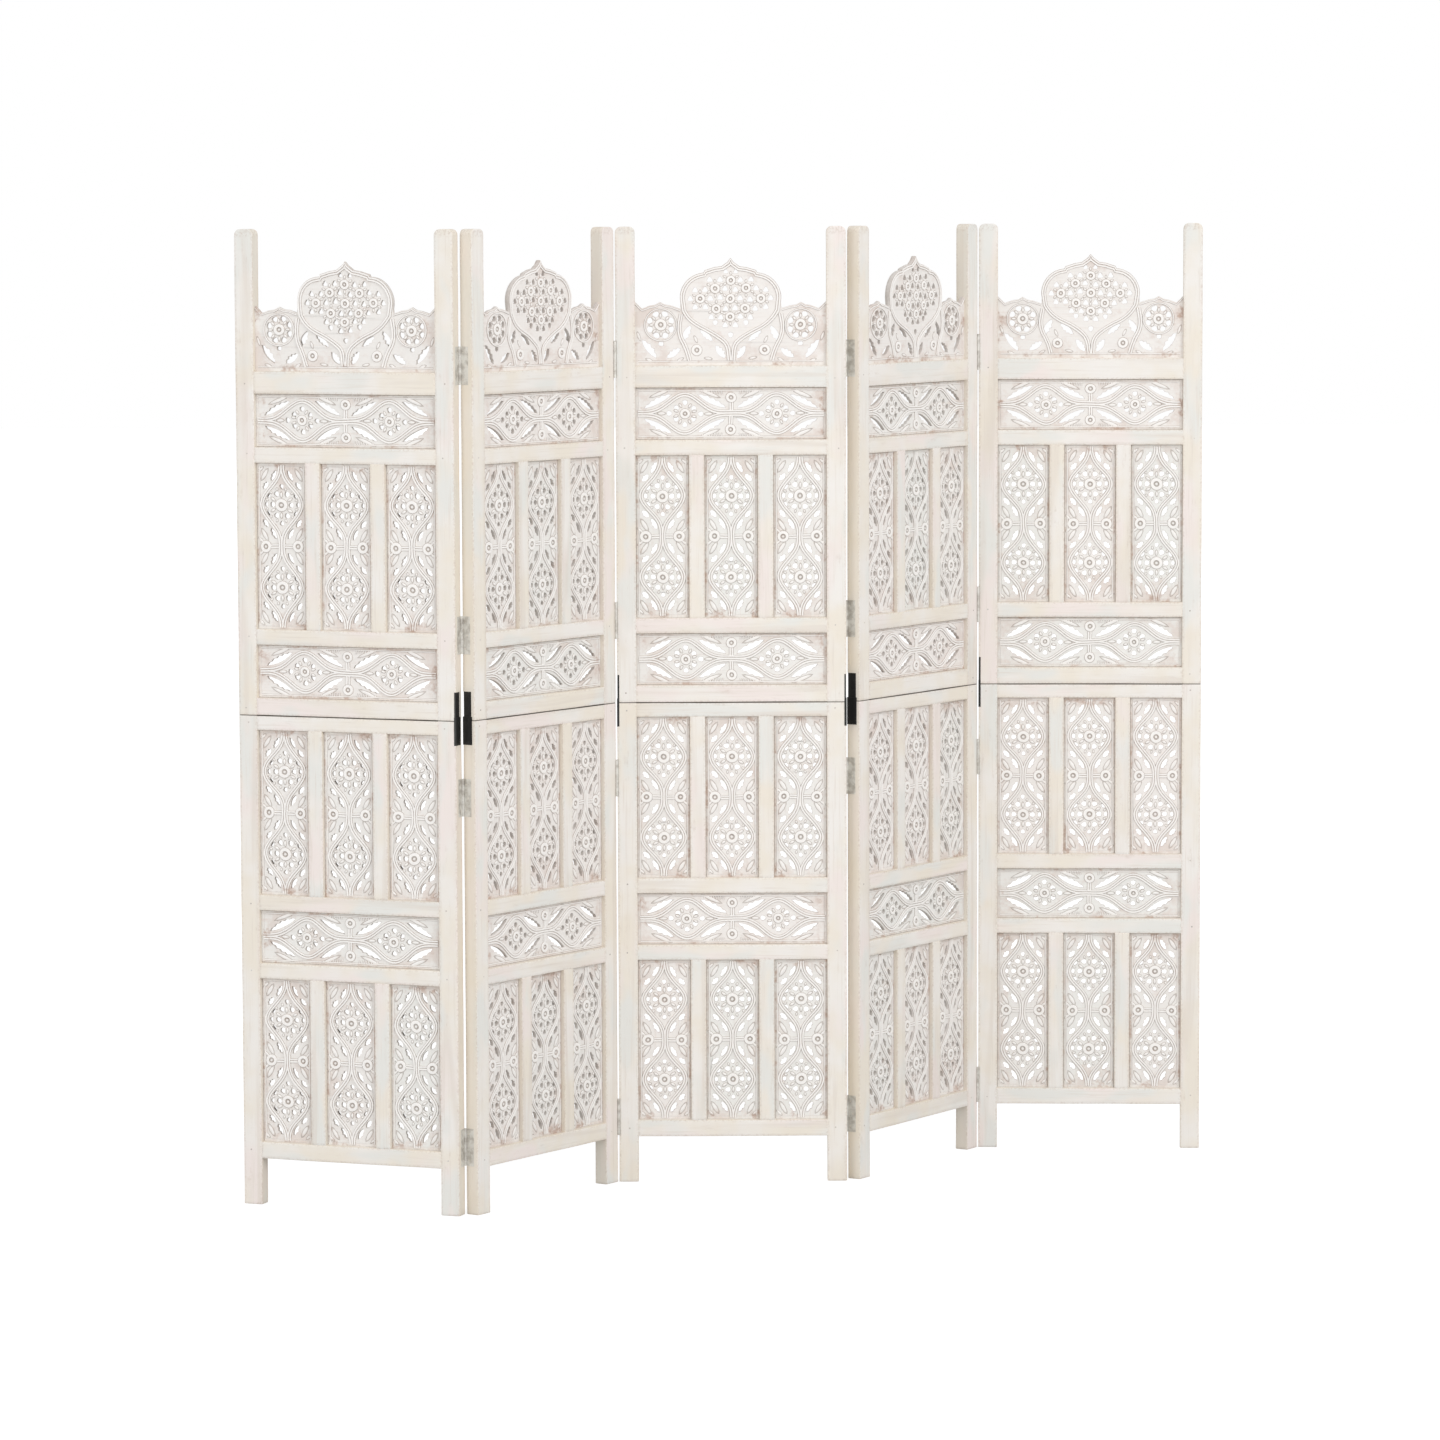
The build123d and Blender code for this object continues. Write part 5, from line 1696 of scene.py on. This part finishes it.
# --- Operators ----------------------------------------------------------------------------------


class DressFrames(bpy.types.Operator):
    """Dress the posts, rails and muntins of every panel."""

    bl_idname = "jali_screen.dress_frames"
    bl_label = "Dress the frames"

    def execute(self, context):
        """Makes the boards of both halves of each panel."""
        for number in PANEL_HEADINGS:
            for half in HALVES:
                dress_posts(number, half)
                dress_rails(number, half)
        return {"FINISHED"}


class DressSlabs(bpy.types.Operator):
    """Dress the carved slabs between the rails of every panel."""

    bl_idname = "jali_screen.dress_slabs"
    bl_label = "Dress the slabs"

    def execute(self, context):
        """Makes the slabs of both halves of each panel."""
        flat_slab.cache_clear()
        for number in PANEL_HEADINGS:
            for half in HALVES:
                dress_slabs(number, half)
        return {"FINISHED"}


class DressCrests(bpy.types.Operator):
    """Dress the crest of every panel."""

    bl_idname = "jali_screen.dress_crests"
    bl_label = "Dress the crests"

    def execute(self, context):
        """Makes each panel's crest."""
        flat_slab.cache_clear()
        for number in PANEL_HEADINGS:
            dress_crest(number)
        return {"FINISHED"}


class DressHinges(bpy.types.Operator):
    """Finish the hinge leaves, pins and screws."""

    bl_idname = "jali_screen.dress_hinges"
    bl_label = "Finish the hinges"

    def execute(self, context):
        """Gives every CAD hinge node its zinc."""
        dress_fittings("_hinge_leaves", "hinge_steel_zinc")
        return {"FINISHED"}


class DressStraps(bpy.types.Operator):
    """Finish the tongues and sockets that join the halves."""

    bl_idname = "jali_screen.dress_straps"
    bl_label = "Finish the straps"

    def execute(self, context):
        """Gives every CAD tongue and socket node its black paint."""
        dress_fittings(("_tongues", "_sockets"), "black_iron_paint")
        return {"FINISHED"}


class SetStage(bpy.types.Operator):
    """Set the floor, the light and the camera."""

    bl_idname = "jali_screen.set_stage"
    bl_label = "Set the stage"

    def execute(self, context):
        """Makes a plain white studio."""
        stage = context.scene.jali_stage
        context.scene.view_settings.view_transform = "Standard"
        lay_floor()
        light_world()
        hang_lamp("key", *KEY_LAMP, stage.key_power)
        hang_lamp("fill", *FILL_LAMP, stage.fill_power)
        set_camera()
        return {"FINISHED"}


class JaliPanel(bpy.types.Panel):
    """The screen's operators, in the order they run."""

    bl_idname = "VIEW3D_PT_jali_screen"
    bl_label = "Jali screen"
    bl_space_type = "VIEW_3D"
    bl_region_type = "UI"
    bl_category = "Jali screen"

    def draw(self, context):
        """One button for each operator."""
        for operator in OPERATORS:
            self.layout.operator(operator.bl_idname)


OPERATORS = (DressFrames, DressSlabs, DressCrests, DressHinges, DressStraps, SetStage)
SETTINGS = {
    "jali_wood": JaliWood,
    "jali_carving": JaliCarving,
    "jali_fittings": JaliFittings,
    "jali_stage": JaliStage,
}


def register():
    """Adds the classes, and the settings on the scene."""
    for settings in (*SETTINGS.values(), *OPERATORS, JaliPanel):
        bpy.utils.register_class(settings)
    for name, settings in SETTINGS.items():
        setattr(bpy.types.Scene, name, bpy.props.PointerProperty(type=settings))


def unregister():
    """Takes the settings and the classes away again."""
    for name in SETTINGS:
        delattr(bpy.types.Scene, name)
    for settings in (JaliPanel, *reversed(OPERATORS), *SETTINGS.values()):
        bpy.utils.unregister_class(settings)


def main():
    """Dresses the whole screen."""
    register()
    for operator in OPERATORS:
        group, name = operator.bl_idname.split(".")
        getattr(getattr(bpy.ops, group), name)()
    bpy.context.view_layer.update()


if __name__ == "__main__":
    main()
